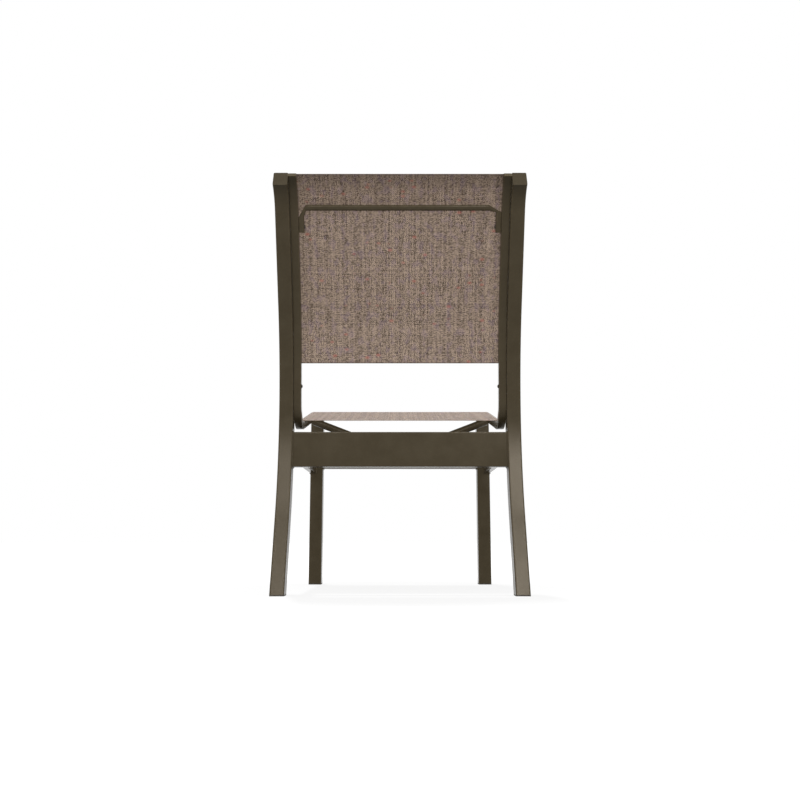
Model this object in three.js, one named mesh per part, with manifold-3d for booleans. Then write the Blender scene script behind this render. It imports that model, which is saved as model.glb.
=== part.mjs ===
// Armless sling patio chair: a bronze aluminium frame with a tall reclined back and two taut slings.
// Millimetres, +Z up. The sitter faces -Y, so left is +X. The origin is under the middle of the chair.
// In the side view, forward distances start at the middle of the rear foot and run towards -Y.
import * as THREE from 'three';
import { mergeVertices } from 'three/addons/utils/BufferGeometryUtils.js';
import Module from 'manifold-3d';

const wasm = await Module();
wasm.setup();

// Whole chair
const OVERALL_WIDTH = 555;
const BACK_HEIGHT = 914.65;
const CONTACT_GAP = 0.3;
const FACET_ERROR = 0.2;
const PLACE_ERROR = 0.003;

// Rear legs: one curved tube a side, from the floor to the top of the back
const REAR_LEG_WIDTH = 31.75;
const REAR_LEG_DEPTH = 38;
const REAR_LEG_WALL = 2;
const REAR_LEG_CORNER = 2.5;
const REAR_FOOT_LEAN = 18.3;
const REAR_LEG_LOWER_RUN = 170;
const REAR_LEG_BEND_RADIUS = 687;
const BACK_LEAN = 23.4;
const REAR_LEG_CURL_RADIUS = 103;
const REAR_LEG_CURL_LEAN = 66;

// Front legs: straight tubes under the rails
const FRONT_LEG_WIDTH = 34;
const FRONT_LEG_DEPTH = 38;
const FRONT_LEG_WALL = 2;
const FRONT_LEG_CORNER = 2.5;
const FRONT_LEG_BEHIND_RAIL_FRONT = 30.3;

// Foot glides and tube caps
const GLIDE_THICKNESS = 3;
const CAP_THICKNESS = 2;
const SPIGOT_LENGTH = 12;
const LEG_PLUG_THICKNESS = 4;

// Bars between the legs
const CROSSBAR_DEPTH = 25;
const CROSSBAR_HEIGHT = 80;
const CROSSBAR_WALL = 2;
const CROSSBAR_CORNER = 2.5;
const REAR_CROSSBAR_BELOW_RAIL = 13.9;
const FRONT_CROSSBAR_BELOW_SEAT = 63.9;
const STRETCHER_WIDTH = 15.4;
const STRETCHER_HEIGHT = 38;
const STRETCHER_WALL = 1.6;
const STRETCHER_CORNER = 1.5;
const STRETCHER_BELOW_RAIL = 40.9;

// Sling rails: one extrusion a side, from the front of the seat to the top of the back
const RAIL_WIDTH = 17.5;
const RAIL_DEPTH = 17.5;
const RAIL_WALL = 1.6;
const RAIL_CORNER = 1.5;
const RAIL_SET_FORWARD = 7.6;
const RAIL_BEND_ABOVE_LEG_BEND = 39.4;
const RAIL_BEND_TIGHTER = 3;
const WAIST_RADIUS = 51;
const WAIST_LEAN = 7.5;
const WAIST_RUN = 78;
const RAIL_CURL_RADIUS = 118;
const RAIL_CURL_LEAN = 63.4;
const RAIL_BELOW_LEG_TOP = 1.15;
const RAIL_TOP_CUT_LEAN = 42;
const SEAT_SLOPE = 12.4;
const SEAT_RUN = 322;
const SEAT_FRONT_RADIUS = 80;
const SEAT_FRONT_DROP_ANGLE = 33;

// Slings and their spline rods
const FABRIC_THICKNESS = 1.2;
const ROD_DIAMETER = 4;
const BACK_SLING_BOTTOM = 94;
const SEAT_SLING_REAR_INSET = 26;
const SEAT_SLING_FRONT_INSET = 3;

// Back spreader: a square bar bent down at both ends
const BACK_BAR_SIZE = 12.7;
const BACK_BAR_CORNER = 3;
const BACK_BAR_BEND_RADIUS = 10;
const BACK_BAR_ABOVE_SCREW = 42;
const BACK_BAR_BELOW_SCREW = 12.5;
const BACK_SCREW_BELOW_CURL = 35;

// Seat spreader: a round tube that dips under the sitter
const SEAT_BAR_DIAMETER = 19;
const SEAT_BAR_WALL = 2;
const SEAT_BAR_SLOPE = 21;
const SEAT_BAR_DROP = 48;
const SEAT_BAR_BEND_RADIUS = 60;
const SEAT_BAR_ALONG_SEAT = 197;
const SEAT_BAR_PLUG_LENGTH = 22;

// Screws and bolts
const SCREW_DIAMETER = 4;
const SCREW_HEAD_DIAMETER = 8.5;
const SCREW_HEAD_HEIGHT = 2.6;
const SCREW_HEAD_CROWN_SHARE = 0.7;
const SCREW_REACH = 8;
const WAIST_BOLT_UP_RAIL = 40;

// Facet counts
const CORNER_STEPS = 2;
const CHANNEL_STEPS = 12;
const ROD_STEPS = 8;
const TUBE_STEPS = 14;
const SCREW_STEPS = 12;

// Places that follow from the sizes above
const REAR_LEG_INNER = OVERALL_WIDTH / 2 - REAR_LEG_WIDTH;
const RAIL_OUTER = REAR_LEG_INNER - CONTACT_GAP;
const RAIL_INNER = RAIL_OUTER - RAIL_WIDTH;
const RAIL_TOP_FACE = RAIL_DEPTH / 2;
const FRONT_LEG_INNER = RAIL_OUTER - FRONT_LEG_WIDTH;
const ROD_RADIUS = ROD_DIAMETER / 2;
const SLEEVE_BORE = ROD_RADIUS + CONTACT_GAP;
const SLEEVE_RADIUS = SLEEVE_BORE + FABRIC_THICKNESS;
const CHANNEL_RADIUS = SLEEVE_RADIUS + CONTACT_GAP;
const MOUTH_HALF = FABRIC_THICKNESS + CONTACT_GAP;
const CHANNEL_X = RAIL_OUTER - RAIL_WALL - CHANNEL_RADIUS;
const CHANNEL_LEVEL = RAIL_TOP_FACE - RAIL_WALL - CHANNEL_RADIUS;
const CHAMBER_BOTTOM = RAIL_WALL - RAIL_DEPTH / 2;
const CHAMBER_TOP = CHANNEL_LEVEL - CHANNEL_RADIUS - RAIL_WALL;
const SCREW_LEVEL = (CHAMBER_BOTTOM + CHAMBER_TOP) / 2;
const SCREW_RADIUS = SCREW_DIAMETER / 2;

const SIDES = { left: 1, right: -1 };

const rad = THREE.MathUtils.degToRad;

// Planes in which a bent bar is drawn, each with the direction square to it
const sideView = {
  place: (forward, height) => new THREE.Vector3(0, -forward, height),
  square: new THREE.Vector3(1, 0, 0),
};
const frontView = {
  place: (across, height) => new THREE.Vector3(across, 0, height),
  square: new THREE.Vector3(0, 1, 0),
};

const straight = (length) => ({ length, turn: 0 });
const bend = (radius, degrees) => ({ length: radius * Math.abs(rad(degrees)), radius, turn: rad(degrees) });

// A flat route of named straight runs and bends. Its lean is the angle from upright, and a bend adds to it.
class Route {
  constructor({ lean, runs, anchorRun, anchor, plane }) {
    this.plane = plane;
    this.runs = [];
    let place = { u: 0, v: 0, lean: rad(lean), distance: 0 };
    for (const [name, run] of Object.entries(runs)) {
      this.runs.push({ ...run, name, start: place });
      place = this.along(this.runs.at(-1), run.length);
    }
    this.length = place.distance;
    const { u, v } = this.run(anchorRun).start;
    this.shift = { u: anchor.u - u, v: anchor.v - v };
  }

  along(run, length) {
    const { u, v, lean, distance } = run.start;
    if (run.turn === 0) {
      const end = { u: u + length * Math.sin(lean), v: v + length * Math.cos(lean) };
      return { ...end, lean, distance: distance + length };
    }
    const radius = run.radius * Math.sign(run.turn);
    const turned = lean + length / radius;
    return {
      u: u - radius * (Math.cos(turned) - Math.cos(lean)),
      v: v + radius * (Math.sin(turned) - Math.sin(lean)),
      lean: turned,
      distance: distance + length,
    };
  }

  run(name) {
    return this.runs.find((run) => run.name === name);
  }

  startOf(name) {
    return this.run(name).start.distance;
  }

  at(distance) {
    const run = this.runs.findLast((each) => each.start.distance <= distance) ?? this.runs[0];
    const { u, v, lean } = this.along(run, distance - run.start.distance);
    return {
      point: this.plane.place(u + this.shift.u, v + this.shift.v),
      tangent: this.plane.place(Math.sin(lean), Math.cos(lean)),
    };
  }

  // Distances of the ends, of every change of run, and of the facets of every bend between them
  stations(from = 0, to = this.length) {
    const marks = [from, to];
    for (const run of this.runs) {
      const step = run.turn === 0 ? Math.PI : 2 * Math.acos(1 - FACET_ERROR / run.radius);
      const count = Math.max(1, Math.ceil(Math.abs(run.turn) / step));
      for (let i = 0; i <= count; i += 1) marks.push(run.start.distance + (run.length * i) / count);
    }
    const inside = marks.filter((mark) => mark >= from && mark <= to).sort((a, b) => a - b);
    const apart = inside.filter((mark, i) => i === 0 || mark - inside[i - 1] > CONTACT_GAP);
    return apart.map((mark) => this.at(mark));
  }

  // A place beside the route: level is measured square to it, towards the sitting side
  beside(distance, across, level) {
    const { point, tangent } = this.at(distance);
    const normal = this.plane.square.clone().cross(tangent);
    return point.addScaledVector(this.plane.square, across).addScaledVector(normal, level);
  }
}

// A curve whose even steps are the given stations, with sections that never twist
class StationCurve extends THREE.Curve {
  constructor(stations, square) {
    super();
    this.stations = stations;
    this.square = square;
  }

  nearest(t) {
    return this.stations[Math.round(t * (this.stations.length - 1))];
  }

  getPoint(t) {
    return this.nearest(t).point.clone();
  }

  getTangent(t) {
    return this.nearest(t).tangent.clone().normalize();
  }

  getUtoTmapping(u) {
    return u;
  }

  computeFrenetFrames() {
    const tangents = this.stations.map(({ tangent }) => tangent.clone().normalize());
    const normals = tangents.map(() => this.square.clone().negate());
    const binormals = tangents.map((tangent) => this.square.clone().cross(tangent));
    return { tangents, normals, binormals };
  }
}

// Sections hold points of (across, level). The sweep turns them square to the route.
function sweep(route, section, from, to, holes = []) {
  const stations = route.stations(from, to);
  const toPoints = (pairs) => pairs.map(([across, level]) => new THREE.Vector2(-across, level));
  return new THREE.ExtrudeGeometry(shapeWithHoles(toPoints(section), holes.map(toPoints)), {
    steps: stations.length - 1,
    bevelEnabled: false,
    extrudePath: new StationCurve(stations, route.plane.square),
  });
}

// The outline runs anticlockwise, so that the walls of the holes face the right way
function shapeWithHoles(outline, holes) {
  const points = THREE.ShapeUtils.isClockWise(outline) ? outline.toReversed() : outline;
  const shape = new THREE.Shape(points);
  shape.holes = holes.map((hole) => new THREE.Path(hole));
  return shape;
}

function arc(centreX, centreY, radius, fromDegrees, toDegrees, steps) {
  return Array.from({ length: steps + 1 }, (_, i) => {
    const angle = rad(fromDegrees + ((toDegrees - fromDegrees) * i) / steps);
    return [centreX + radius * Math.cos(angle), centreY + radius * Math.sin(angle)];
  });
}

const circle = (centreX, centreY, radius, steps) =>
  arc(centreX, centreY, radius, 0, 360, steps).slice(0, steps);

function roundedRectangle(x0, y0, x1, y1, radius, steps = CORNER_STEPS) {
  return [
    ...arc(x1 - radius, y0 + radius, radius, -90, 0, steps),
    ...arc(x1 - radius, y1 - radius, radius, 0, 90, steps),
    ...arc(x0 + radius, y1 - radius, radius, 90, 180, steps),
    ...arc(x0 + radius, y0 + radius, radius, 180, 270, steps),
  ];
}

function rectangle(x0, y0, x1, y1) {
  return [[x0, y0], [x1, y0], [x1, y1], [x0, y1]];
}

const mirrored = (points, side) => points.map(([across, level]) => [side * across, level]);

// Joining and cutting
function toSolid(geometry) {
  const bare = geometry.clone();
  bare.deleteAttribute('normal');
  bare.deleteAttribute('uv');
  const merged = mergeVertices(bare);
  return new wasm.Manifold(new wasm.Mesh({
    numProp: 3,
    vertProperties: new Float32Array(merged.attributes.position.array),
    triVerts: new Uint32Array(merged.index.array),
  }));
}

function toGeometry(solid) {
  const { vertProperties, triVerts } = solid.getMesh();
  const geometry = new THREE.BufferGeometry();
  geometry.setAttribute('position', new THREE.BufferAttribute(vertProperties, 3));
  geometry.setIndex(new THREE.BufferAttribute(triVerts, 1));
  geometry.computeVertexNormals();
  return geometry;
}

const cut = (geometry, ...tools) =>
  toGeometry(tools.reduce((solid, tool) => solid.subtract(toSolid(tool)), toSolid(geometry)));
const join = (first, second) => toGeometry(toSolid(first).add(toSolid(second)));
const common = (first, second) => toGeometry(toSolid(first).intersect(toSolid(second)));

function box(min, max) {
  const size = max.clone().sub(min);
  const centre = min.clone().add(max).divideScalar(2);
  return new THREE.BoxGeometry(size.x, size.y, size.z).translate(centre.x, centre.y, centre.z);
}

// A level slab that reaches past the chair on every side
function slab(bottom, top) {
  const reach = OVERALL_WIDTH + BACK_HEIGHT;
  return box(new THREE.Vector3(-reach, -reach, bottom), new THREE.Vector3(reach, reach, top));
}

// A round bar along X from one place across the chair to another
function barAlongX(centre, fromX, toX, radius, steps = SCREW_STEPS) {
  return new THREE.CylinderGeometry(radius, radius, Math.abs(toX - fromX), steps)
    .rotateZ(Math.PI / 2)
    .translate((fromX + toX) / 2, centre.y, centre.z);
}

// Finishes
function powderCoat() {
  return new THREE.MeshStandardMaterial({ color: 0x4a4236, roughness: 0.45, metalness: 0.1 });
}

function slingFabric() {
  return new THREE.MeshStandardMaterial({ color: 0x94826f, roughness: 0.85, metalness: 0 });
}

function darkPlastic() {
  return new THREE.MeshStandardMaterial({ color: 0x3a342b, roughness: 0.6, metalness: 0 });
}

function whitePlastic() {
  return new THREE.MeshStandardMaterial({ color: 0xd8d5cc, roughness: 0.5, metalness: 0 });
}

function screwSteel() {
  return new THREE.MeshStandardMaterial({ color: 0x3b342c, roughness: 0.35, metalness: 0.9 });
}

// A straight run at the lean of the back, up to a curl whose end brings a level of the section to a height
function backRun({ from, top, curlRadius, curlLean, level }) {
  const curlRise = (curlRadius + level) * Math.sin(rad(curlLean)) - curlRadius * Math.sin(rad(BACK_LEAN));
  return straight((top - curlRise - from) / Math.cos(rad(BACK_LEAN)));
}

// The rear leg starts with an overrun below the floor
function makeRearLegRoute() {
  const start = {
    lean: REAR_FOOT_LEAN,
    anchorRun: 'foot',
    anchor: { u: 0, v: 0 },
    plane: sideView,
  };
  const lowerRuns = {
    overrun: straight(REAR_LEG_DEPTH),
    foot: straight(REAR_LEG_LOWER_RUN),
    bend: bend(REAR_LEG_BEND_RADIUS, -(REAR_FOOT_LEAN + BACK_LEAN)),
  };
  const lower = new Route({ ...start, runs: lowerRuns });
  const bendEnd = lower.at(lower.length).point;
  const upperRuns = {
    back: backRun({
      from: bendEnd.z,
      top: BACK_HEIGHT,
      curlRadius: REAR_LEG_CURL_RADIUS,
      curlLean: REAR_LEG_CURL_LEAN,
      level: REAR_LEG_DEPTH / 2,
    }),
    curl: bend(REAR_LEG_CURL_RADIUS, BACK_LEAN - REAR_LEG_CURL_LEAN),
  };
  return new Route({ ...start, runs: { ...lowerRuns, ...upperRuns } });
}
const rearLegRoute = makeRearLegRoute();

// The rail's back lies beside the leg's back and is parallel to it. Its overrun is for the top cut.
function makeRailRoute() {
  const besideLeg = rearLegRoute.startOf('back') + RAIL_BEND_ABOVE_LEG_BEND;
  const backStart = rearLegRoute.beside(besideLeg, 0, RAIL_SET_FORWARD);
  return new Route({
    lean: SEAT_FRONT_DROP_ANGLE - 90,
    runs: {
      front: bend(SEAT_FRONT_RADIUS, -(SEAT_FRONT_DROP_ANGLE + SEAT_SLOPE)),
      seat: straight(SEAT_RUN),
      waistBend: bend(WAIST_RADIUS, 90 + SEAT_SLOPE - WAIST_LEAN),
      waist: straight(WAIST_RUN),
      backBend: bend(REAR_LEG_BEND_RADIUS - RAIL_BEND_TIGHTER, WAIST_LEAN - BACK_LEAN),
      back: backRun({
        from: backStart.z,
        top: BACK_HEIGHT - RAIL_BELOW_LEG_TOP,
        curlRadius: RAIL_CURL_RADIUS,
        curlLean: RAIL_CURL_LEAN,
        level: RAIL_TOP_FACE,
      }),
      curl: bend(RAIL_CURL_RADIUS, BACK_LEAN - RAIL_CURL_LEAN),
      overrun: straight(RAIL_DEPTH),
    },
    anchorRun: 'back',
    anchor: { u: -backStart.y, v: backStart.z },
    plane: sideView,
  });
}
const railRoute = makeRailRoute();
const railWaist = railRoute.startOf('waist');
const railSeatRear = railRoute.startOf('waistBend');
const railTop = railRoute.startOf('overrun');
const seatFrontHeight = railRoute.at(railRoute.startOf('seat')).point.z;
const railUnderside = railRoute.beside(railSeatRear + WAIST_RADIUS * rad(SEAT_SLOPE), 0, -RAIL_TOP_FACE).z;
const frontLegForward = -railRoute.at(0).point.y - FRONT_LEG_BEHIND_RAIL_FRONT;

// Places on the rails where something is fastened
const waistBoltPlace = railRoute.beside(railWaist + WAIST_BOLT_UP_RAIL, 0, SCREW_LEVEL);
const backScrewPlace = railRoute.beside(railRoute.startOf('curl') - BACK_SCREW_BELOW_CURL, 0, SCREW_LEVEL);
const seatBarPlace = railRoute.beside(railSeatRear - SEAT_BAR_ALONG_SEAT, 0, SCREW_LEVEL);

// Everything past the top cut of the rails, lowered by an inset
function pastRailTop(inset) {
  const reach = OVERALL_WIDTH;
  const corner = railRoute.beside(railTop, 0, RAIL_TOP_FACE);
  const beyond = box(new THREE.Vector3(-reach, -reach, -inset), new THREE.Vector3(reach, reach, reach));
  return beyond.rotateX(-rad(RAIL_TOP_CUT_LEAN)).translate(0, corner.y, corner.z);
}

// Rear legs
function rearLegSection(side, inset) {
  const outer = OVERALL_WIDTH / 2 - inset;
  const inner = REAR_LEG_INNER + inset;
  const depth = REAR_LEG_DEPTH / 2 - inset;
  if (inset === 0) return mirrored(roundedRectangle(inner, -depth, outer, depth, REAR_LEG_CORNER), side);
  return mirrored(rectangle(inner, -depth, outer, depth), side);
}

function rearLeg(side) {
  const end = rearLegRoute.length - CAP_THICKNESS - CONTACT_GAP;
  const tube = sweep(rearLegRoute, rearLegSection(side, 0), 0, end, [rearLegSection(side, REAR_LEG_WALL)]);
  const belowGlide = slab(-REAR_LEG_DEPTH * 2, GLIDE_THICKNESS + CONTACT_GAP);
  const inside = REAR_LEG_INNER + REAR_LEG_WALL * 2;
  const holes = [waistBoltPlace, backScrewPlace].map((place) =>
    barAlongX(place, side * RAIL_INNER, side * inside, SCREW_RADIUS + CONTACT_GAP));
  return cut(tube, belowGlide, ...holes);
}

function rearLegCap(side) {
  const end = rearLegRoute.length;
  const plate = sweep(rearLegRoute, rearLegSection(side, 0), end - CAP_THICKNESS, end);
  const spigotSection = rearLegSection(side, REAR_LEG_WALL + CONTACT_GAP);
  const spigot = sweep(rearLegRoute, spigotSection, end - SPIGOT_LENGTH, end - CAP_THICKNESS / 2);
  return join(plate, spigot);
}

function rearFootGlide(side) {
  const reach = REAR_LEG_DEPTH * 2;
  const plate = common(sweep(rearLegRoute, rearLegSection(side, 0), 0, reach), slab(0, GLIDE_THICKNESS));
  const spigotSection = rearLegSection(side, REAR_LEG_WALL + CONTACT_GAP);
  const core = sweep(rearLegRoute, spigotSection, 0, reach);
  const spigot = common(core, slab(GLIDE_THICKNESS / 2, SPIGOT_LENGTH));
  return join(plate, spigot);
}

// Front legs
function frontLegSection(side, inset) {
  const depth = FRONT_LEG_DEPTH / 2 - inset;
  const inner = FRONT_LEG_INNER + inset;
  const outer = RAIL_OUTER - inset;
  if (inset === 0) return mirrored(roundedRectangle(inner, -depth, outer, depth, FRONT_LEG_CORNER), side);
  return mirrored(rectangle(inner, -depth, outer, depth), side);
}

const frontLegRoute = new Route({
  lean: 0,
  runs: { upright: straight(BACK_HEIGHT) },
  anchorRun: 'upright',
  anchor: { u: frontLegForward, v: 0 },
  plane: sideView,
});

// A layer that follows the rails over the front legs, between two levels of the rail's section
function layerAlongRail(fromLevel, toLevel) {
  const reach = OVERALL_WIDTH / 2;
  const section = rectangle(-reach, fromLevel, reach, toLevel);
  return sweep(railRoute, section, 0, railSeatRear);
}

function frontLeg(side) {
  const from = GLIDE_THICKNESS + CONTACT_GAP;
  const to = seatFrontHeight + RAIL_DEPTH;
  const bore = frontLegSection(side, FRONT_LEG_WALL);
  const tube = sweep(frontLegRoute, frontLegSection(side, 0), from, to, [bore]);
  return cut(tube, layerAlongRail(-RAIL_TOP_FACE - CONTACT_GAP, SEAT_FRONT_RADIUS));
}

function frontLegPlug(side) {
  const core = sweep(frontLegRoute, frontLegSection(side, FRONT_LEG_WALL + CONTACT_GAP), 0, BACK_HEIGHT);
  const top = -RAIL_TOP_FACE - CONTACT_GAP;
  return common(core, layerAlongRail(top - LEG_PLUG_THICKNESS, top));
}

function frontFootGlide(side) {
  const plate = sweep(frontLegRoute, frontLegSection(side, 0), 0, GLIDE_THICKNESS);
  const spigotSection = frontLegSection(side, FRONT_LEG_WALL + CONTACT_GAP);
  const spigot = sweep(frontLegRoute, spigotSection, GLIDE_THICKNESS / 2, SPIGOT_LENGTH);
  return join(plate, spigot);
}

// Bars between the legs
function boxTube(width, height, corner, wall, length) {
  const outline = roundedRectangle(-width / 2, -height / 2, width / 2, height / 2, corner);
  const bore = rectangle(wall - width / 2, wall - height / 2, width / 2 - wall, height / 2 - wall);
  const toPoints = (pairs) => pairs.map((pair) => new THREE.Vector2(...pair));
  const shape = shapeWithHoles(toPoints(outline), [toPoints(bore)]);
  const tube = new THREE.ExtrudeGeometry(shape, { depth: length, bevelEnabled: false });
  return tube.translate(0, 0, -length / 2);
}

function crossbar(halfSpan) {
  const tube = boxTube(CROSSBAR_DEPTH, CROSSBAR_HEIGHT, CROSSBAR_CORNER, CROSSBAR_WALL, halfSpan * 2);
  return tube.rotateX(Math.PI / 2).rotateZ(Math.PI / 2);
}

// The place at which a route that starts at the floor climbs to a height
function placeAtHeight(route, height) {
  let low = 0;
  let high = route.length;
  while (high - low > PLACE_ERROR) {
    const middle = (low + high) / 2;
    if (route.at(middle).point.z < height) low = middle;
    else high = middle;
  }
  return route.at(low).point;
}

// The rear crossbar lies between the rear legs, on their middle line, and under the rails' lowest place
const rearCrossbarHeight = railUnderside - REAR_CROSSBAR_BELOW_RAIL - CROSSBAR_HEIGHT / 2;
const rearCrossbarMiddle = placeAtHeight(rearLegRoute, rearCrossbarHeight);
const frontCrossbarHeight = seatFrontHeight - FRONT_CROSSBAR_BELOW_SEAT - CROSSBAR_HEIGHT / 2;

const stretcherRear = -rearCrossbarMiddle.y + CROSSBAR_DEPTH / 2 + CONTACT_GAP;
const stretcherFront = frontLegForward - FRONT_LEG_DEPTH / 2 - CONTACT_GAP;

function sideStretcher() {
  const length = stretcherFront - stretcherRear;
  const tube = boxTube(STRETCHER_WIDTH, STRETCHER_HEIGHT, STRETCHER_CORNER, STRETCHER_WALL, length);
  return tube.rotateX(Math.PI / 2);
}

// Sling rails
function railOutline(side) {
  const bottom = -RAIL_DEPTH / 2;
  const corner = RAIL_CORNER;
  const mouthAngle = THREE.MathUtils.radToDeg(Math.asin(MOUTH_HALF / CHANNEL_RADIUS));
  const points = [
    ...arc(RAIL_INNER + corner, bottom + corner, corner, 180, 270, CORNER_STEPS),
    ...arc(RAIL_OUTER - corner, bottom + corner, corner, -90, 0, CORNER_STEPS),
    ...arc(RAIL_OUTER - corner, RAIL_TOP_FACE - corner, corner, 0, 90, CORNER_STEPS),
    [CHANNEL_X + MOUTH_HALF, RAIL_TOP_FACE],
    ...arc(CHANNEL_X, CHANNEL_LEVEL, CHANNEL_RADIUS, 90 - mouthAngle, mouthAngle - 270, CHANNEL_STEPS),
    [CHANNEL_X - MOUTH_HALF, RAIL_TOP_FACE],
    ...arc(RAIL_INNER + corner, RAIL_TOP_FACE - corner, corner, 90, 180, CORNER_STEPS),
  ];
  return mirrored(points, side);
}

function screwChamber(side, inset) {
  const inner = RAIL_INNER + RAIL_WALL + inset;
  const outer = RAIL_OUTER - RAIL_WALL - inset;
  return mirrored(rectangle(inner, CHAMBER_BOTTOM + inset, outer, CHAMBER_TOP - inset), side);
}

// A round bore beside the channel, which end-cap screws would bite into
function screwPort(side) {
  const inner = RAIL_INNER + RAIL_WALL;
  const outer = CHANNEL_X - CHANNEL_RADIUS - RAIL_WALL;
  const level = (CHAMBER_TOP + RAIL_TOP_FACE) / 2;
  return mirrored(circle((inner + outer) / 2, level, (outer - inner) / 2, ROD_STEPS), side);
}

function railBlank(side) {
  const corners = [RAIL_INNER, -RAIL_DEPTH / 2, RAIL_OUTER, RAIL_TOP_FACE];
  return mirrored(roundedRectangle(...corners, RAIL_CORNER), side);
}

const railFront = CAP_THICKNESS + CONTACT_GAP;

function slingRail(side) {
  const holes = [screwChamber(side, 0), screwPort(side)];
  const rail = sweep(railRoute, railOutline(side), railFront, railRoute.length, holes);
  const holeFrom = side * (RAIL_INNER - RAIL_WALL);
  const holeTo = side * (RAIL_OUTER + RAIL_WALL);
  const screwHoles = [waistBoltPlace, backScrewPlace, seatBarPlace].map((place) =>
    barAlongX(place, holeFrom, holeTo, SCREW_RADIUS + CONTACT_GAP));
  return cut(rail, pastRailTop(CAP_THICKNESS + CONTACT_GAP), ...screwHoles);
}

function railTopCap(side) {
  const from = railRoute.startOf('curl');
  const blank = sweep(railRoute, railBlank(side), from, railRoute.length);
  const plate = cut(common(blank, pastRailTop(CAP_THICKNESS)), pastRailTop(0));
  const core = sweep(railRoute, screwChamber(side, CONTACT_GAP), from, railRoute.length);
  const spigot = cut(common(core, pastRailTop(SPIGOT_LENGTH)), pastRailTop(CAP_THICKNESS / 2));
  return join(plate, spigot);
}

function railFrontCap(side) {
  const plate = sweep(railRoute, railBlank(side), 0, CAP_THICKNESS);
  const spigot = sweep(railRoute, screwChamber(side, CONTACT_GAP), CAP_THICKNESS / 2, SPIGOT_LENGTH);
  return join(plate, spigot);
}

// Slings: a taut sheet whose two edges go down through the rail mouths and close round the rods
function slingSection() {
  const under = RAIL_TOP_FACE + CONTACT_GAP;
  const top = under + FABRIC_THICKNESS;
  const tongue = FABRIC_THICKNESS;
  const tongueAngle = THREE.MathUtils.radToDeg(Math.asin(tongue / SLEEVE_RADIUS));
  const edge = [
    [CHANNEL_X - tongue, under],
    ...arc(CHANNEL_X, CHANNEL_LEVEL, SLEEVE_RADIUS, 90 + tongueAngle, 450 - tongueAngle, CHANNEL_STEPS),
    [CHANNEL_X + tongue, top],
  ];
  return [...edge, ...mirrored(edge, -1).reverse()];
}

function sling(from, to) {
  const bore = circle(CHANNEL_X, CHANNEL_LEVEL, SLEEVE_BORE, ROD_STEPS);
  return sweep(railRoute, slingSection(), from, to, [bore, mirrored(bore, -1)]);
}

function splineRod(side, from, to) {
  return sweep(railRoute, mirrored(circle(CHANNEL_X, CHANNEL_LEVEL, ROD_RADIUS, ROD_STEPS), side), from, to);
}

// The back sling ends just under the caps, whose cut isn't square to the rails
const topCapAlongRail = (CAP_THICKNESS + CONTACT_GAP) / Math.cos(rad(RAIL_CURL_LEAN - RAIL_TOP_CUT_LEAN));
const backSlingSpan = [railWaist + BACK_SLING_BOTTOM, railTop - topCapAlongRail];
const seatSlingSpan = [SEAT_SLING_FRONT_INSET, railSeatRear - SEAT_SLING_REAR_INSET];

// Back spreader, drawn upright about the line of its two screws
const backBarInner = RAIL_INNER - CONTACT_GAP - BACK_BAR_SIZE;
const backBarMiddle = backBarInner + BACK_BAR_SIZE / 2;

function backSpreader() {
  const upright = BACK_BAR_BELOW_SCREW + BACK_BAR_ABOVE_SCREW - BACK_BAR_BEND_RADIUS;
  const route = new Route({
    lean: 0,
    runs: {
      rightEnd: straight(upright),
      rightBend: bend(BACK_BAR_BEND_RADIUS, 90),
      middle: straight((backBarMiddle - BACK_BAR_BEND_RADIUS) * 2),
      leftBend: bend(BACK_BAR_BEND_RADIUS, 90),
      leftEnd: straight(upright),
    },
    anchorRun: 'rightEnd',
    anchor: { u: -backBarMiddle, v: -BACK_BAR_BELOW_SCREW },
    plane: frontView,
  });
  const half = BACK_BAR_SIZE / 2;
  const bar = sweep(route, roundedRectangle(-half, -half, half, half, BACK_BAR_CORNER));
  const screwLine = new THREE.Vector3();
  return cut(bar, barAlongX(screwLine, -RAIL_INNER, RAIL_INNER, SCREW_RADIUS + CONTACT_GAP));
}

// Seat spreader, drawn about the middle of its ends
function seatSpreaderRoute() {
  const slope = rad(SEAT_BAR_SLOPE);
  const bendRise = SEAT_BAR_BEND_RADIUS * (1 - Math.cos(slope));
  const bendReach = SEAT_BAR_BEND_RADIUS * Math.sin(slope);
  const arm = (SEAT_BAR_DROP - bendRise) / Math.sin(slope);
  const middle = RAIL_INNER - arm * Math.cos(slope) - bendReach;
  const overrun = straight(SEAT_BAR_DIAMETER);
  return new Route({
    lean: 90 + SEAT_BAR_SLOPE,
    runs: {
      rightOverrun: overrun,
      rightArm: straight(arm),
      rightBend: bend(SEAT_BAR_BEND_RADIUS, -SEAT_BAR_SLOPE),
      middle: straight(middle * 2),
      leftBend: bend(SEAT_BAR_BEND_RADIUS, -SEAT_BAR_SLOPE),
      leftArm: straight(arm),
      leftOverrun: overrun,
    },
    anchorRun: 'rightArm',
    anchor: { u: -RAIL_INNER, v: 0 },
    plane: frontView,
  });
}

// The space between the inner faces of the two rails
function betweenRails() {
  const reach = OVERALL_WIDTH;
  const side = RAIL_INNER - CONTACT_GAP;
  return box(new THREE.Vector3(-side, -reach, -reach), new THREE.Vector3(side, reach, reach));
}

function seatSpreader() {
  const outer = SEAT_BAR_DIAMETER / 2;
  const bore = circle(0, 0, outer - SEAT_BAR_WALL, TUBE_STEPS);
  const tube = sweep(seatSpreaderRoute(), circle(0, 0, outer, TUBE_STEPS), undefined, undefined, [bore]);
  return common(tube, betweenRails());
}

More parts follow.
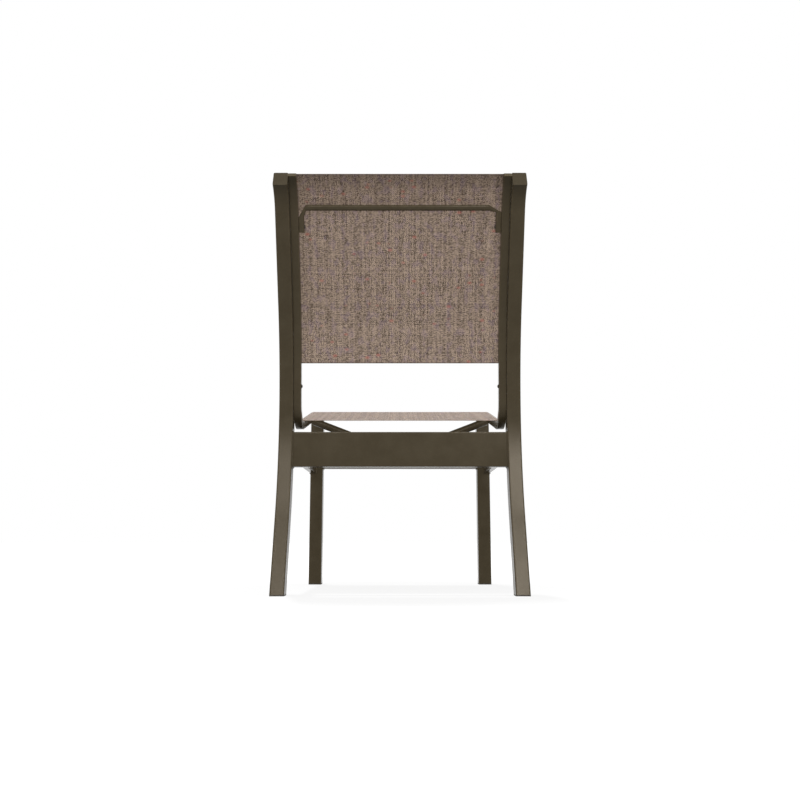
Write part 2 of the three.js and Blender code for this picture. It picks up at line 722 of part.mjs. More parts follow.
// A threaded plug in each end of the seat spreader
function seatSpreaderPlug(side) {
  const route = seatSpreaderRoute();
  const radius = SEAT_BAR_DIAMETER / 2 - SEAT_BAR_WALL - CONTACT_GAP;
  const core = sweep(route, circle(0, 0, radius, TUBE_STEPS), 0, SEAT_BAR_DIAMETER + SEAT_BAR_PLUG_LENGTH);
  const middle = new THREE.Vector3();
  const holeEnd = SEAT_BAR_PLUG_LENGTH * 2 - RAIL_INNER;
  const hole = barAlongX(middle, -RAIL_INNER, holeEnd, SCREW_RADIUS + CONTACT_GAP);
  const plug = cut(common(core, betweenRails()), hole);
  return side === SIDES.right ? plug : plug.rotateZ(Math.PI);
}

// A button-head screw along +X, its head resting just clear of x = 0 on the negative side
function screw(shankLength) {
  const head = SCREW_HEAD_DIAMETER / 2;
  const crown = head * SCREW_HEAD_CROWN_SHARE;
  const rim = SCREW_HEAD_HEIGHT * (1 - SCREW_HEAD_CROWN_SHARE);
  const profile = [
    [0, -SCREW_HEAD_HEIGHT],
    [crown, -SCREW_HEAD_HEIGHT],
    [head, -rim],
    [head, 0],
    [SCREW_RADIUS, 0],
    [SCREW_RADIUS, shankLength + CONTACT_GAP],
    [0, shankLength + CONTACT_GAP],
  ];
  const points = profile.map(([radius, along]) => new THREE.Vector2(radius, along - CONTACT_GAP));
  return new THREE.LatheGeometry(points, SCREW_STEPS).rotateZ(-Math.PI / 2);
}

// The chair
const chair = new THREE.Group();
chair.name = 'sling_patio_chair';

function add(name, geometry, material, place) {
  const mesh = new THREE.Mesh(geometry, material);
  mesh.name = name;
  if (place) mesh.position.copy(place);
  chair.add(mesh);
  return mesh;
}

// Screws point outwards from the middle of the chair unless they are turned to point inwards
function addScrew(name, side, fromX, place, shankLength, inwards = false) {
  const mesh = add(name, screw(shankLength), screwSteel(), new THREE.Vector3(side * fromX, place.y, place.z));
  const pointsToLeft = (side === SIDES.left) !== inwards;
  mesh.rotation.z = pointsToLeft ? 0 : Math.PI;
}

for (const [name, side] of Object.entries(SIDES)) {
  add(`rear_leg_${name}`, rearLeg(side), powderCoat());
  add(`rear_leg_cap_${name}`, rearLegCap(side), powderCoat());
  add(`rear_foot_glide_${name}`, rearFootGlide(side), darkPlastic());
  add(`front_leg_${name}`, frontLeg(side), powderCoat());
  add(`front_leg_plug_${name}`, frontLegPlug(side), darkPlastic());
  add(`front_foot_glide_${name}`, frontFootGlide(side), darkPlastic());

  const stretcherPlace = new THREE.Vector3(
    side * (RAIL_OUTER - STRETCHER_WIDTH / 2),
    -(stretcherRear + stretcherFront) / 2,
    railUnderside - STRETCHER_BELOW_RAIL - STRETCHER_HEIGHT / 2,
  );
  add(`side_stretcher_${name}`, sideStretcher(), powderCoat(), stretcherPlace);

  add(`sling_rail_${name}`, slingRail(side), powderCoat());
  add(`rail_top_cap_${name}`, railTopCap(side), darkPlastic());
  add(`rail_front_cap_${name}`, railFrontCap(side), darkPlastic());
  add(`back_spline_rod_${name}`, splineRod(side, ...backSlingSpan), whitePlastic());
  add(`seat_spline_rod_${name}`, splineRod(side, ...seatSlingSpan), whitePlastic());

  const throughRail = RAIL_WIDTH + CONTACT_GAP * 2;
  const intoLeg = throughRail + REAR_LEG_WALL + SCREW_REACH;
  addScrew(`waist_bolt_${name}`, side, RAIL_INNER, waistBoltPlace, intoLeg);
  addScrew(`back_spreader_screw_${name}`, side, backBarInner, backScrewPlace, intoLeg + BACK_BAR_SIZE);
  addScrew(`seat_spreader_bolt_${name}`, side, RAIL_OUTER, seatBarPlace, throughRail + SCREW_REACH, true);
  add(`seat_spreader_plug_${name}`, seatSpreaderPlug(side), screwSteel(), seatBarPlace);
}

add('rear_crossbar', crossbar(REAR_LEG_INNER - CONTACT_GAP), powderCoat(), rearCrossbarMiddle);
add('front_crossbar', crossbar(FRONT_LEG_INNER - CONTACT_GAP), powderCoat(),
  sideView.place(frontLegForward, frontCrossbarHeight));
add('back_sling', sling(...backSlingSpan), slingFabric());
add('seat_sling', sling(...seatSlingSpan), slingFabric());
add('back_spreader', backSpreader(), powderCoat(), backScrewPlace).rotation.x = -rad(BACK_LEAN);
add('seat_spreader', seatSpreader(), powderCoat(), seatBarPlace);

// Stand the chair over its own middle
const reach = new THREE.Box3().setFromObject(chair, true);
chair.position.y = -(reach.min.y + reach.max.y) / 2;
chair.updateMatrixWorld(true);

export default chair;
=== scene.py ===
"""Sling patio chair: the visible surfaces of an armless outdoor chair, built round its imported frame.

Metres, +Z up. The sitter faces -Y, and the sitter's left is +X. The bent parts follow flat routes, worked
out from the same real sizes as the frame. Most surfaces are a section carried along such a route.
"""
from math import asin, cos, degrees, pi, radians, sin

import bmesh
import bpy
import numpy as np
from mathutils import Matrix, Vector


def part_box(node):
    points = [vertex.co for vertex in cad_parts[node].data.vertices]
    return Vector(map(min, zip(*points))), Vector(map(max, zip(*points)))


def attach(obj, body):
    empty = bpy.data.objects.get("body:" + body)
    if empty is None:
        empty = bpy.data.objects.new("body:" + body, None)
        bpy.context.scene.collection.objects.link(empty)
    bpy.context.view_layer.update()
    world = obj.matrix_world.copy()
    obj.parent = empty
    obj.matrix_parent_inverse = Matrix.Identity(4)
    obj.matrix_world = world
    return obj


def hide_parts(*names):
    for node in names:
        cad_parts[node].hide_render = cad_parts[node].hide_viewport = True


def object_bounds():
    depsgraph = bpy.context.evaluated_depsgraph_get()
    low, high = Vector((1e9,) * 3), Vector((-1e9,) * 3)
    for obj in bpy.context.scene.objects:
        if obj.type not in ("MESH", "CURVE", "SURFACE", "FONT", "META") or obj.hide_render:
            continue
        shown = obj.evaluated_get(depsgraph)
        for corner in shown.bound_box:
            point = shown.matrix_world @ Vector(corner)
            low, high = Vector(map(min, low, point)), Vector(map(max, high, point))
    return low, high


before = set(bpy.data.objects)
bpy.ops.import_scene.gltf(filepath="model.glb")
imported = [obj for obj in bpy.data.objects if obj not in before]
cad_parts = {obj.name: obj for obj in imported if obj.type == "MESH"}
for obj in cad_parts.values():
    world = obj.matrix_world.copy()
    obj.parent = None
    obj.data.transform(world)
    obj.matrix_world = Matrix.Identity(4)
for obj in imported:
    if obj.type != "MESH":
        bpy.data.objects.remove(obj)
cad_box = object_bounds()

# The whole chair
HALF_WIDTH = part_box("rear_leg_left")[1].x
BACK_HEIGHT = cad_box[1].z
SEAM = 0.0003
SIDES = {"left": 1, "right": -1}

# Rear legs
LEG_WIDTH = 0.03175
LEG_DEPTH = 0.038
LEG_CORNER = 0.0025
FOOT_LEAN = 18.3
LEG_LOWER_RUN = 0.170
LEG_BEND_RADIUS = 0.687
BACK_LEAN = 23.4
LEG_CURL_RADIUS = 0.103
LEG_CURL_LEAN = 66
LEG_OVERRUN = 0.038
CAP_THICKNESS = 0.002
GLIDE_THICKNESS = 0.003

# Front legs and the bars between the legs
FRONT_LEG_WIDTH = 0.034
FRONT_LEG_DEPTH = 0.038
TUBE_WALL = 0.002
CROSSBAR_DEPTH = 0.025
CROSSBAR_HEIGHT = 0.080
STRETCHER_WIDTH = 0.0154
STRETCHER_HEIGHT = 0.038
STRETCHER_CORNER = 0.0015

# Sling rails
RAIL_WIDTH = 0.0175
RAIL_DEPTH = 0.0175
RAIL_WALL = 0.0016
RAIL_CORNER = 0.0015
RAIL_LIP = 0.0003
RAIL_SET_FORWARD = 0.0076
RAIL_BEND_ABOVE_LEG_BEND = 0.0394
RAIL_BEND_TIGHTER = 0.003
RAIL_BELOW_LEG_TOP = 0.00115
WAIST_RADIUS = 0.051
WAIST_LEAN = 7.5
WAIST_RUN = 0.078
RAIL_CURL_RADIUS = 0.118
RAIL_CURL_LEAN = 63.4
RAIL_TOP_CUT_LEAN = 42
SEAT_SLOPE = 12.4
SEAT_RUN = 0.322
SEAT_FRONT_RADIUS = 0.080
SEAT_FRONT_DROP_ANGLE = 33
CHANNEL_RADIUS = 0.0038
MOUTH_HALF = 0.0015

# Slings and the rods that hold their edges
CLOTH_THICKNESS = 0.00055
CLOTH_LEVEL = 0.00996
UNDERLAP_LEVEL = 0.00935
SLEEVE_BORE = 0.0023
NECK_HALF = 0.00042
NECK_BEND = 0.0009
ROD_RADIUS = 0.002
BACK_SLING_BOTTOM = 0.094
SEAT_SLING_FRONT_INSET = 0.003
SEAT_SLING_REAR_INSET = 0.026
BACK_SAG = 0.0008
SEAT_SAG = 0.0002
SAG_FADE_SHARE = 0.3

# Spreaders
BACK_BAR_SIZE = 0.0127
BACK_BAR_CORNER = 0.0045
BACK_BAR_BEND_RADIUS = 0.010
BACK_BAR_ABOVE_SCREW = 0.042
BACK_BAR_BELOW_SCREW = 0.0125
BACK_SCREW_BELOW_CURL = 0.035
SEAT_BAR_RADIUS = 0.0095
SEAT_BAR_SLOPE = 21
SEAT_BAR_DROP = 0.048
SEAT_BAR_BEND_RADIUS = 0.060
SEAT_BAR_ALONG_SEAT = 0.197

# Screws and weld beads
HEAD_RADIUS = 0.00425
HEAD_HEIGHT = 0.0026
SOCKET_HALF = 0.00125
SOCKET_DEPTH = 0.0014
SOCKET_RIM = 0.0001
SHANK_RADIUS = 0.002
SHANK_INTO_LEG = 0.012
SHANK_INTO_PLUG = 0.008
WAIST_BOLT_UP_RAIL = 0.040
HEAD_FLAT_SHARE = 0.45
CROWN_FROM = 0.15
CROWN_SHARE = 0.85
BEAD_SIZE = 0.0021
BEAD_PITCH = 0.0024
BEAD_SWELL = 0.1
BEAD_RUB = 0.3

# A screw's socket and the lower side of its head, as shares of their radius and their depth
SOCKET_RINGS = ((0.2, 1.1), (0.94, 1.0), (1.0, 0.94), (1.0, SOCKET_RIM / SOCKET_DEPTH), (1.06, 0.0))
UNDER_HEAD_RINGS = ((1.0, 0.97), (0.96, 1.0))

# A weld bead in shares of its size: how far it reaches into the tube, how far it stands off the wall, and
# how high its hidden side reaches
BEAD_SINK = 0.3
BEAD_LIFT = 0.02
BEAD_HIDDEN_TOP = (0.9, 0.95)

# How finely the surfaces are divided
BEND_STEP = radians(1.5)
LONGEST_STEP = 0.012
CLOTH_STEP = 0.004
CORNER_STEPS = 6
LIP_STEPS = 3
CHANNEL_STEPS = 28
FRONT_LEG_ROWS = 30
SEAT_BAR_STEPS = 40
ROD_STEPS = 16
SCREW_STEPS = 48
CROWN_ROWS = 9
STEPS_A_BEAD = 8
BEAD_CORNER_STEPS = 8
BEAD_ARC_POINTS = 7
TAUT_POINTS = 56
RAIL_POINTS = 8
UNDERLAP_POINTS = 6
NECK_STEPS = 5
LOOP_STEPS = 20
BACK_STEPS = 4
SHARP_ANGLE = radians(32)

# Places and shapes that follow from the sizes
LEG_INNER = HALF_WIDTH - LEG_WIDTH
RAIL_OUTER = LEG_INNER - SEAM
RAIL_INNER = RAIL_OUTER - RAIL_WIDTH
RAIL_FACE = RAIL_DEPTH / 2
CHANNEL_X = RAIL_OUTER - RAIL_WALL - CHANNEL_RADIUS
CHANNEL_LEVEL = RAIL_FACE - RAIL_WALL - CHANNEL_RADIUS
CHAMBER_TOP = CHANNEL_LEVEL - CHANNEL_RADIUS - RAIL_WALL
SCREW_LEVEL = (RAIL_WALL - RAIL_FACE + CHAMBER_TOP) / 2
FRONT_LEG_INNER = RAIL_OUTER - FRONT_LEG_WIDTH
CROSSBAR_SHAPE = (CROSSBAR_DEPTH, CROSSBAR_HEIGHT, LEG_CORNER)
STRETCHER_SHAPE = (STRETCHER_WIDTH, STRETCHER_HEIGHT, STRETCHER_CORNER)


class Plane:
    """A flat drawing plane in space: u runs to the right of the drawing, v up it, and square out of it."""

    def __init__(self, origin, u, v):
        self.origin, self.u, self.v = (np.array(each, float) for each in (origin, u, v))
        self.square = np.cross(self.v, self.u)

    def place(self, u, v, across):
        in_plane = self.origin + u[..., None] * self.u + v[..., None] * self.v
        return in_plane + across[..., None] * self.square


# Side view: u is the distance in front of the middle of the rear foot
FOOT_MIDDLE_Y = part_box("rear_foot_glide_left")[1].y - LEG_DEPTH / 2 / cos(radians(FOOT_LEAN))
SIDE_VIEW = Plane((0, FOOT_MIDDLE_Y, 0), (0, -1, 0), (0, 0, 1))


def straight(length):
    """A run's length and curvature."""
    return length, 0.0


def bend(radius, turn_degrees):
    """A round run's length, and its curvature, which is positive where the lean grows."""
    return abs(radians(turn_degrees)) * radius, np.sign(turn_degrees) / radius


class Route:
    """A flat line of named straight runs and round bends, joined end to end.

    A run is its length and its curvature. Its lean is the angle from v towards u, and turns evenly along a
    bend, so a stretch of length s that turns by 2h from lean a is a chord of length s sin(h) / h in the
    direction a + h.
    """

    def __init__(self, plane, lean, runs, anchor_run, anchor=(0, 0)):
        self.plane, self.names = plane, list(runs)
        lengths, self.curvature = np.array(list(runs.values())).T
        self.start = np.concatenate([[0], np.cumsum(lengths)[:-1]])
        self.length = lengths.sum()
        turned = np.concatenate([[0], np.cumsum(lengths * self.curvature)[:-1]])
        self.lean = radians(lean) + turned
        half = lengths * self.curvature / 2
        chord = lengths * np.sinc(half / pi)
        steps = np.stack([chord * np.sin(self.lean + half), chord * np.cos(self.lean + half)], axis=1)
        starts = np.concatenate([[[0, 0]], np.cumsum(steps, axis=0)[:-1]])
        self.begin = starts + np.array(anchor) - starts[self.names.index(anchor_run)]

    def start_of(self, name):
        """The distance along the route at which a run starts."""
        return self.start[self.names.index(name)]

    def at(self, distance):
        """u, v and lean at distances along the route."""
        distance = np.asarray(distance, float)
        run = np.clip(np.searchsorted(self.start, distance, side="right") - 1, 0, len(self.start) - 1)
        along = distance - self.start[run]
        half = along * self.curvature[run] / 2
        chord = along * np.sinc(half / pi)
        heading = self.lean[run] + half
        u = self.begin[run, 0] + chord * np.sin(heading)
        v = self.begin[run, 1] + chord * np.cos(heading)
        return u, v, heading + half

    def stations(self, low=0.0, high=None, longest=LONGEST_STEP):
        """Distances from low to high: every change of run, and even steps along each run.

        A station that lies almost on the one before it is left out.
        """
        high = self.length if high is None else high
        ends = np.append(self.start[1:], self.length)
        marks = [low, high]
        for begin, end, curve in zip(self.start, ends, self.curvature):
            run = end - begin
            count = int(np.ceil(max(abs(curve) * run / BEND_STEP, run / longest)))
            marks.extend(np.linspace(begin, end, max(1, count) + 1))
        marks = np.unique(np.round([mark for mark in marks if low <= mark <= high], 6))
        return marks[np.insert(np.diff(marks) > longest / 20, 0, True)]

    def surface(self, distances, across, level):
        """Places beside the route: across is square to the drawing, and level square to the route in it.

        across and level hold one number a column, or one a row and column.
        """
        u, v, lean = (each[:, None] for each in self.at(distances))
        across = np.broadcast_to(across, np.broadcast_shapes(np.shape(across), u.shape))
        return self.plane.place(u + level * np.cos(lean), v - level * np.sin(lean), across)

    def point(self, distance, across, level):
        """One place beside the route."""
        return self.surface([distance], np.array([across]), np.array([level]))[0, 0]


def back_run(low, top, curl_radius, curl_lean, level):
    """The back's straight run. The curl above it ends with its section's given level at height top."""
    rise = (curl_radius + level) * sin(radians(curl_lean)) - curl_radius * sin(radians(BACK_LEAN))
    return straight((top - rise - low) / cos(radians(BACK_LEAN)))


def rear_leg_route():
    """The middle of a rear leg: up from the floor, round to the back's lean, and over at the top."""
    lower = {
        "overrun": straight(LEG_OVERRUN),
        "foot": straight(LEG_LOWER_RUN),
        "bend": bend(LEG_BEND_RADIUS, -(FOOT_LEAN + BACK_LEAN)),
    }
    bend_end = Route(SIDE_VIEW, FOOT_LEAN, {**lower, "end": straight(SEAM)}, "foot")
    low = bend_end.at(bend_end.start_of("end"))[1]
    upper = {
        "back": back_run(low, BACK_HEIGHT, LEG_CURL_RADIUS, LEG_CURL_LEAN, LEG_DEPTH / 2),
        "curl": bend(LEG_CURL_RADIUS, BACK_LEAN - LEG_CURL_LEAN),
    }
    return Route(SIDE_VIEW, FOOT_LEAN, {**lower, **upper}, "foot")


def rail_route(leg):
    """The middle of a rail, from the seat's front over the waist and up the back, set from the leg."""
    u, v, lean = leg.at(leg.start_of("back") + RAIL_BEND_ABOVE_LEG_BEND)
    anchor = (u + RAIL_SET_FORWARD * cos(lean), v - RAIL_SET_FORWARD * sin(lean))
    top = BACK_HEIGHT - RAIL_BELOW_LEG_TOP
    runs = {
        "front": bend(SEAT_FRONT_RADIUS, -(SEAT_FRONT_DROP_ANGLE + SEAT_SLOPE)),
        "seat": straight(SEAT_RUN),
        "waist_bend": bend(WAIST_RADIUS, 90 + SEAT_SLOPE - WAIST_LEAN),
        "waist": straight(WAIST_RUN),
        "back_bend": bend(LEG_BEND_RADIUS - RAIL_BEND_TIGHTER, WAIST_LEAN - BACK_LEAN),
        "back": back_run(anchor[1], top, RAIL_CURL_RADIUS, RAIL_CURL_LEAN, RAIL_FACE),
        "curl": bend(RAIL_CURL_RADIUS, BACK_LEAN - RAIL_CURL_LEAN),
        "overrun": straight(RAIL_DEPTH),
    }
    return Route(SIDE_VIEW, SEAT_FRONT_DROP_ANGLE - 90, runs, "back", anchor)


LEG_ROUTE = rear_leg_route()
RAIL_ROUTE = rail_route(LEG_ROUTE)
RAIL_TOP = RAIL_ROUTE.start_of("overrun")
SEAT_REAR = RAIL_ROUTE.start_of("waist_bend")
TOP_CAP_ALONG_RAIL = (CAP_THICKNESS + SEAM) / cos(radians(RAIL_CURL_LEAN - RAIL_TOP_CUT_LEAN))
BACK_SLING_SPAN = (RAIL_ROUTE.start_of("waist") + BACK_SLING_BOTTOM, RAIL_TOP - TOP_CAP_ALONG_RAIL)
SEAT_SLING_SPAN = (SEAT_SLING_FRONT_INSET, SEAT_REAR - SEAT_SLING_REAR_INSET)
BACK_SCREW = RAIL_ROUTE.point(RAIL_ROUTE.start_of("curl") - BACK_SCREW_BELOW_CURL, 0, SCREW_LEVEL)
WAIST_BOLT = RAIL_ROUTE.point(RAIL_ROUTE.start_of("waist") + WAIST_BOLT_UP_RAIL, 0, SCREW_LEVEL)
SEAT_BAR_END = RAIL_ROUTE.point(SEAT_REAR - SEAT_BAR_ALONG_SEAT, 0, SCREW_LEVEL)


# Sections, as closed outlines of (across, level) points
def arc(x, y, radius, start, end, steps):
    """Points on a circle from one angle in degrees to another."""
    angle = np.radians(np.linspace(start, end, steps + 1))
    return np.stack([x + radius * np.cos(angle), y + radius * np.sin(angle)], axis=1)


def rounded_rectangle(x0, y0, x1, y1, radius, steps=CORNER_STEPS):
    """Four quarter circles joined by flats.

    A point a third of the radius beyond each end of a corner keeps the flats flat when shaded.
    """
    centres = ((x1, y0, -1, 1), (x1, y1, -1, -1), (x0, y1, 1, -1), (x0, y0, 1, 1))
    points = []
    for quarter, (x, y, to_x, to_y) in enumerate(centres):
        start = quarter * 90 - 90
        corner = arc(x + to_x * radius, y + to_y * radius, radius, start, start + 90, steps)
        ahead = np.array([cos(radians(start)), sin(radians(start))])
        along = np.array([-ahead[1], ahead[0]]) * radius / 3
        points += [corner[:1] - along, corner, corner[-1:] - ahead * radius / 3]
    return np.concatenate(points)


def box_section(width, height, corner, steps=CORNER_STEPS):
    """A rounded rectangle centred on its route."""
    return rounded_rectangle(-width / 2, -height / 2, width / 2, height / 2, corner, steps)


def circle(x, y, radius, steps):
    """A whole circle, without its first point again at the end."""
    return arc(x, y, radius, 0, 360, steps)[:-1]


def on_side(section, side):
    """The section as it is on the left, or turned over for the right."""
    return section * np.array([side, 1])


def rail_section():
    """A square tube whose sitting face opens through a narrow mouth into a round channel."""
    mouth = degrees(asin(MOUTH_HALF / CHANNEL_RADIUS))
    lip_reach, lip_level = MOUTH_HALF + RAIL_LIP, RAIL_FACE - RAIL_LIP
    right_lip = arc(CHANNEL_X + lip_reach, lip_level, RAIL_LIP, 90, 180, LIP_STEPS)
    left_lip = arc(CHANNEL_X - lip_reach, lip_level, RAIL_LIP, 0, 90, LIP_STEPS)
    outline = rounded_rectangle(RAIL_INNER, -RAIL_FACE, RAIL_OUTER, RAIL_FACE, RAIL_CORNER)
    outer_half, inner_half = np.split(outline, 2)
    channel = arc(CHANNEL_X, CHANNEL_LEVEL, CHANNEL_RADIUS, 90 - mouth, mouth - 270, CHANNEL_STEPS)
    return np.concatenate([outer_half, right_lip, channel, left_lip, inner_half])


# Meshes
def grid_faces(rows, columns, wrap_columns=False, wrap_rows=False):
    """Four-sided faces between neighbouring points of a grid that is numbered row by row."""
    row = np.arange(rows if wrap_rows else rows - 1)[:, None]
    column = np.arange(columns if wrap_columns else columns - 1)[None, :]
    next_row, next_column = (row + 1) % rows, (column + 1) % columns
    corners = [row * columns + column, row * columns + next_column,
               next_row * columns + next_column, next_row * columns + column]
    return np.stack([np.broadcast_to(each, corners[0].shape).ravel() for each in corners], axis=1)


def tube_faces(rows, columns):
    """The faces of a closed bar: its long faces, and one face over each end."""
    ends = [list(range(columns)), list(range((rows - 1) * columns, rows * columns))[::-1]]
    return grid_faces(rows, columns, wrap_columns=True).tolist() + ends


def make_mesh(name, places, faces, closed=True, **values):
    """A smooth-shaded mesh of a grid of places, turned outwards, with named values at its points."""
    mesh = bpy.data.meshes.new(name)
    mesh.from_pydata(places.reshape(-1, 3).tolist(), [], faces)
    if closed:
        work = bmesh.new()
        work.from_mesh(mesh)
        if work.calc_volume(signed=True) < 0:
            bmesh.ops.reverse_faces(work, faces=work.faces)
        work.to_mesh(mesh)
        work.free()
    for key, value in values.items():
        spread = np.broadcast_to(value, places.shape[:2]).astype(np.float32)
        mesh.attributes.new(key, "FLOAT", "POINT").data.foreach_set("value", spread.ravel())
    mesh.shade_smooth()
    mesh.set_sharp_from_angle(angle=SHARP_ANGLE)
    mesh.update()
    return mesh


def add_piece(mesh, material, slot, *nodes):
    """A piece that rides with the chair and stands for the CAD nodes named, if any."""
    piece = bpy.data.objects.new(mesh.name, mesh)
    bpy.context.scene.collection.objects.link(piece)
    mesh.materials.append(material)
    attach(piece, "root")
    if nodes:
        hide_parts(*nodes)
    return piece


def add_tube(name, places, material, slot, *nodes, **values):
    """A closed bar whose sections are the rows of a grid of places."""
    add_piece(make_mesh(name, places, tube_faces(*places.shape[:2]), **values), material, slot, *nodes)


def corner_rub(section):
    """How exposed each point of a section is: 1 on its round corners and 0 on its flats."""
    before = section - np.roll(section, 1, axis=0)
    after = np.roll(section, -1, axis=0) - section
    turn = np.arctan2(np.cross(before, after), (before * after).sum(axis=1))
    return np.clip(np.abs(turn) / radians(90 / CORNER_STEPS), 0, 1)


def trim(places, row, neighbour, through, normal):
    """Slides one row along the bar until it lies in a plane."""
    ahead = places[row] - places[neighbour]
    reach = (through - places[row]) @ normal / (ahead @ normal)
    places[row] += ahead * reach[:, None]


# Materials
class Finish:
    """A node material that is built up by small steps."""

    def __init__(self, name, vector="Object"):
        self.material = bpy.data.materials.new(name)
        self.material.use_nodes = True
        self.tree = self.material.node_tree
        self.shader = self.tree.nodes["Principled BSDF"]
        coordinates = self.tree.nodes.new("ShaderNodeTexCoord")
        self.place = coordinates.outputs[vector]

    def node(self, kind, inputs=None, **settings):
        made = self.tree.nodes.new("ShaderNode" + kind)
        for key, value in settings.items():
            setattr(made, key, value)
        for key, value in (inputs or {}).items():
            self.feed(made.inputs[key], value)
        return made

    def feed(self, socket, value):
        if isinstance(value, bpy.types.NodeSocket):
            self.tree.links.new(value, socket)
        else:
            socket.default_value = value

    def math(self, operation, *values):
        return self.node("Math", dict(enumerate(values)), operation=operation).outputs[0]

    def stretched(self, x, y, z):
        """The place on the piece, counted in the given number of steps a metre along each axis."""
        return self.node("Mapping", {"Vector": self.place, "Scale": (x, y, z)}).outputs[0]

    def noise(self, vector, scale=1.0, detail=2.0):
        inputs = {"Vector": vector, "Scale": scale, "Detail": detail}
        return self.node("TexNoise", inputs).outputs["Fac"]

    def span(self, value, low, high, to_low=0.0, to_high=1.0):
        """A value moved from one range to another and held inside it."""
        inputs = {"Value": value, "From Min": low, "From Max": high, "To Min": to_low, "To Max": to_high}
        return self.node("MapRange", inputs).outputs[0]

    def spread(self, noise, to_low=0.0, to_high=1.0):
        """A noise over the whole of a range: most of its own values lie between 0.3 and 0.7."""
        return self.span(noise, 0.3, 0.7, to_low, to_high)

    def mix(self, share, first, second):
        """A colour between two, which are the node's inputs 6 and 7. The result is its output 2."""
        made = self.node("Mix", data_type="RGBA")
        for index, value in ((0, share), (6, first), (7, second)):
            self.feed(made.inputs[index], value)
        return made.outputs[2]

    def bump(self, height, distance, strength):
        inputs = {"Height": height, "Distance": distance, "Strength": strength}
        self.feed(self.shader.inputs["Normal"], self.node("Bump", inputs).outputs[0])

    def set(self, **values):
        for key, value in values.items():
            self.feed(self.shader.inputs[key.replace("_", " ")], value)


def paint(red, green, blue):
    """An sRGB colour of 0 to 255 a channel as the linear colour that a shader takes."""
    share = np.array([red, green, blue]) / 255
    linear = np.where(share <= 0.04045, share / 12.92, ((share + 0.055) / 1.055) ** 2.4)
    return (*linear.tolist(), 1.0)


# Tones of the finishes, darker first, their roughness, glossier first, and the coat's warm gloss
COAT_TONES, COAT_ROUGHNESS = (paint(65, 57, 42), paint(71, 63, 48)), (0.19, 0.24)
COAT_GLOSS_TINT = (1.0, 0.89, 0.74, 1.0)
NYLON_TONES, NYLON_ROUGHNESS = (paint(50, 45, 37), paint(60, 54, 44)), (0.5, 0.62)
BRONZE_NYLON_TONES = (paint(74, 64, 45), paint(82, 72, 52))
ROD_TONES, ROD_ROUGHNESS = (paint(196, 193, 184), paint(216, 213, 205)), (0.42, 0.55)
STEEL_TONES, STEEL_ROUGHNESS = (paint(44, 41, 37), paint(66, 61, 54)), (0.32, 0.5)

# The coat's flecks and rubbed corners: their tones, the values of their noise that count, and how much shows
COAT_FLECK, FLECK_FROM_TO, FLECK_MOST = paint(104, 90, 66), (0.9, 1.0), 0.35
COAT_RUBBED, RUB_FROM_TO, RUB_LEAST_MOST = paint(92, 80, 61), (0.45, 0.75), (0.05, 0.5)


def bronze_powder_coat():
    """Baked bronze powder: fine orange peel, faint flecks, cloudy gloss and corners rubbed a little."""
    coat = Finish("bronze_powder_coat")
    peel = coat.noise(coat.place, scale=1100, detail=3)
    cloud = coat.noise(coat.place, scale=26, detail=4)
    fleck = coat.node("TexVoronoi", {"Vector": coat.place, "Scale": 1500}).outputs["Color"]
    fleck = coat.node("SeparateColor", {"Color": fleck}).outputs[0]
    fleck = coat.span(fleck, *FLECK_FROM_TO, to_high=FLECK_MOST)
    tone = coat.mix(fleck, coat.mix(coat.spread(cloud), *COAT_TONES), COAT_FLECK)
    rub = coat.node("Attribute", attribute_name="rub").outputs["Fac"]
    patchy = coat.noise(coat.place, scale=150, detail=5)
    patchy = coat.span(patchy, *RUB_FROM_TO, *RUB_LEAST_MOST)
    tone = coat.mix(coat.math("MULTIPLY", rub, patchy), tone, COAT_RUBBED)
    coat.set(Base_Color=tone, Roughness=coat.spread(cloud, *COAT_ROUGHNESS))
    coat.set(Metallic=0.0, Specular_IOR_Level=0.14, Specular_Tint=COAT_GLOSS_TINT)
    coat.bump(peel, distance=0.00003, strength=0.6)
    return coat.material


def moulded_nylon(name, tones, specular):
    """Moulded nylon: a fine spark texture and slightly uneven gloss."""
    nylon = Finish(name)
    grain = nylon.noise(nylon.place, scale=1800)
    cloud = nylon.noise(nylon.place, scale=60, detail=3)
    nylon.set(Base_Color=nylon.mix(cloud, *tones), Roughness=nylon.spread(cloud, *NYLON_ROUGHNESS))
    nylon.set(Specular_IOR_Level=specular)
    nylon.bump(grain, distance=0.00004, strength=0.5)
    return nylon.material


def rod_plastic():
    """Extruded rod stock: pale, with faint lines along it."""
    rod = Finish("rod_plastic")
    line = rod.noise(rod.stretched(2500, 60, 60))
    rod.set(Base_Color=rod.mix(line, *ROD_TONES), Roughness=rod.spread(line, *ROD_ROUGHNESS))
    rod.bump(line, distance=0.00003, strength=0.4)
    return rod.material


def dark_steel():
    """Blackened zinc-plated steel with fine turning marks and a cloudy sheen."""
    steel = Finish("dark_steel")
    marks = steel.noise(steel.stretched(9000, 400, 400))
    cloud = steel.noise(steel.place, scale=220, detail=4)
    steel.set(Base_Color=steel.mix(cloud, *STEEL_TONES), Metallic=0.85)
    steel.set(Roughness=steel.spread(cloud, *STEEL_ROUGHNESS))
    steel.bump(marks, distance=0.00002, strength=0.5)
    return steel.material


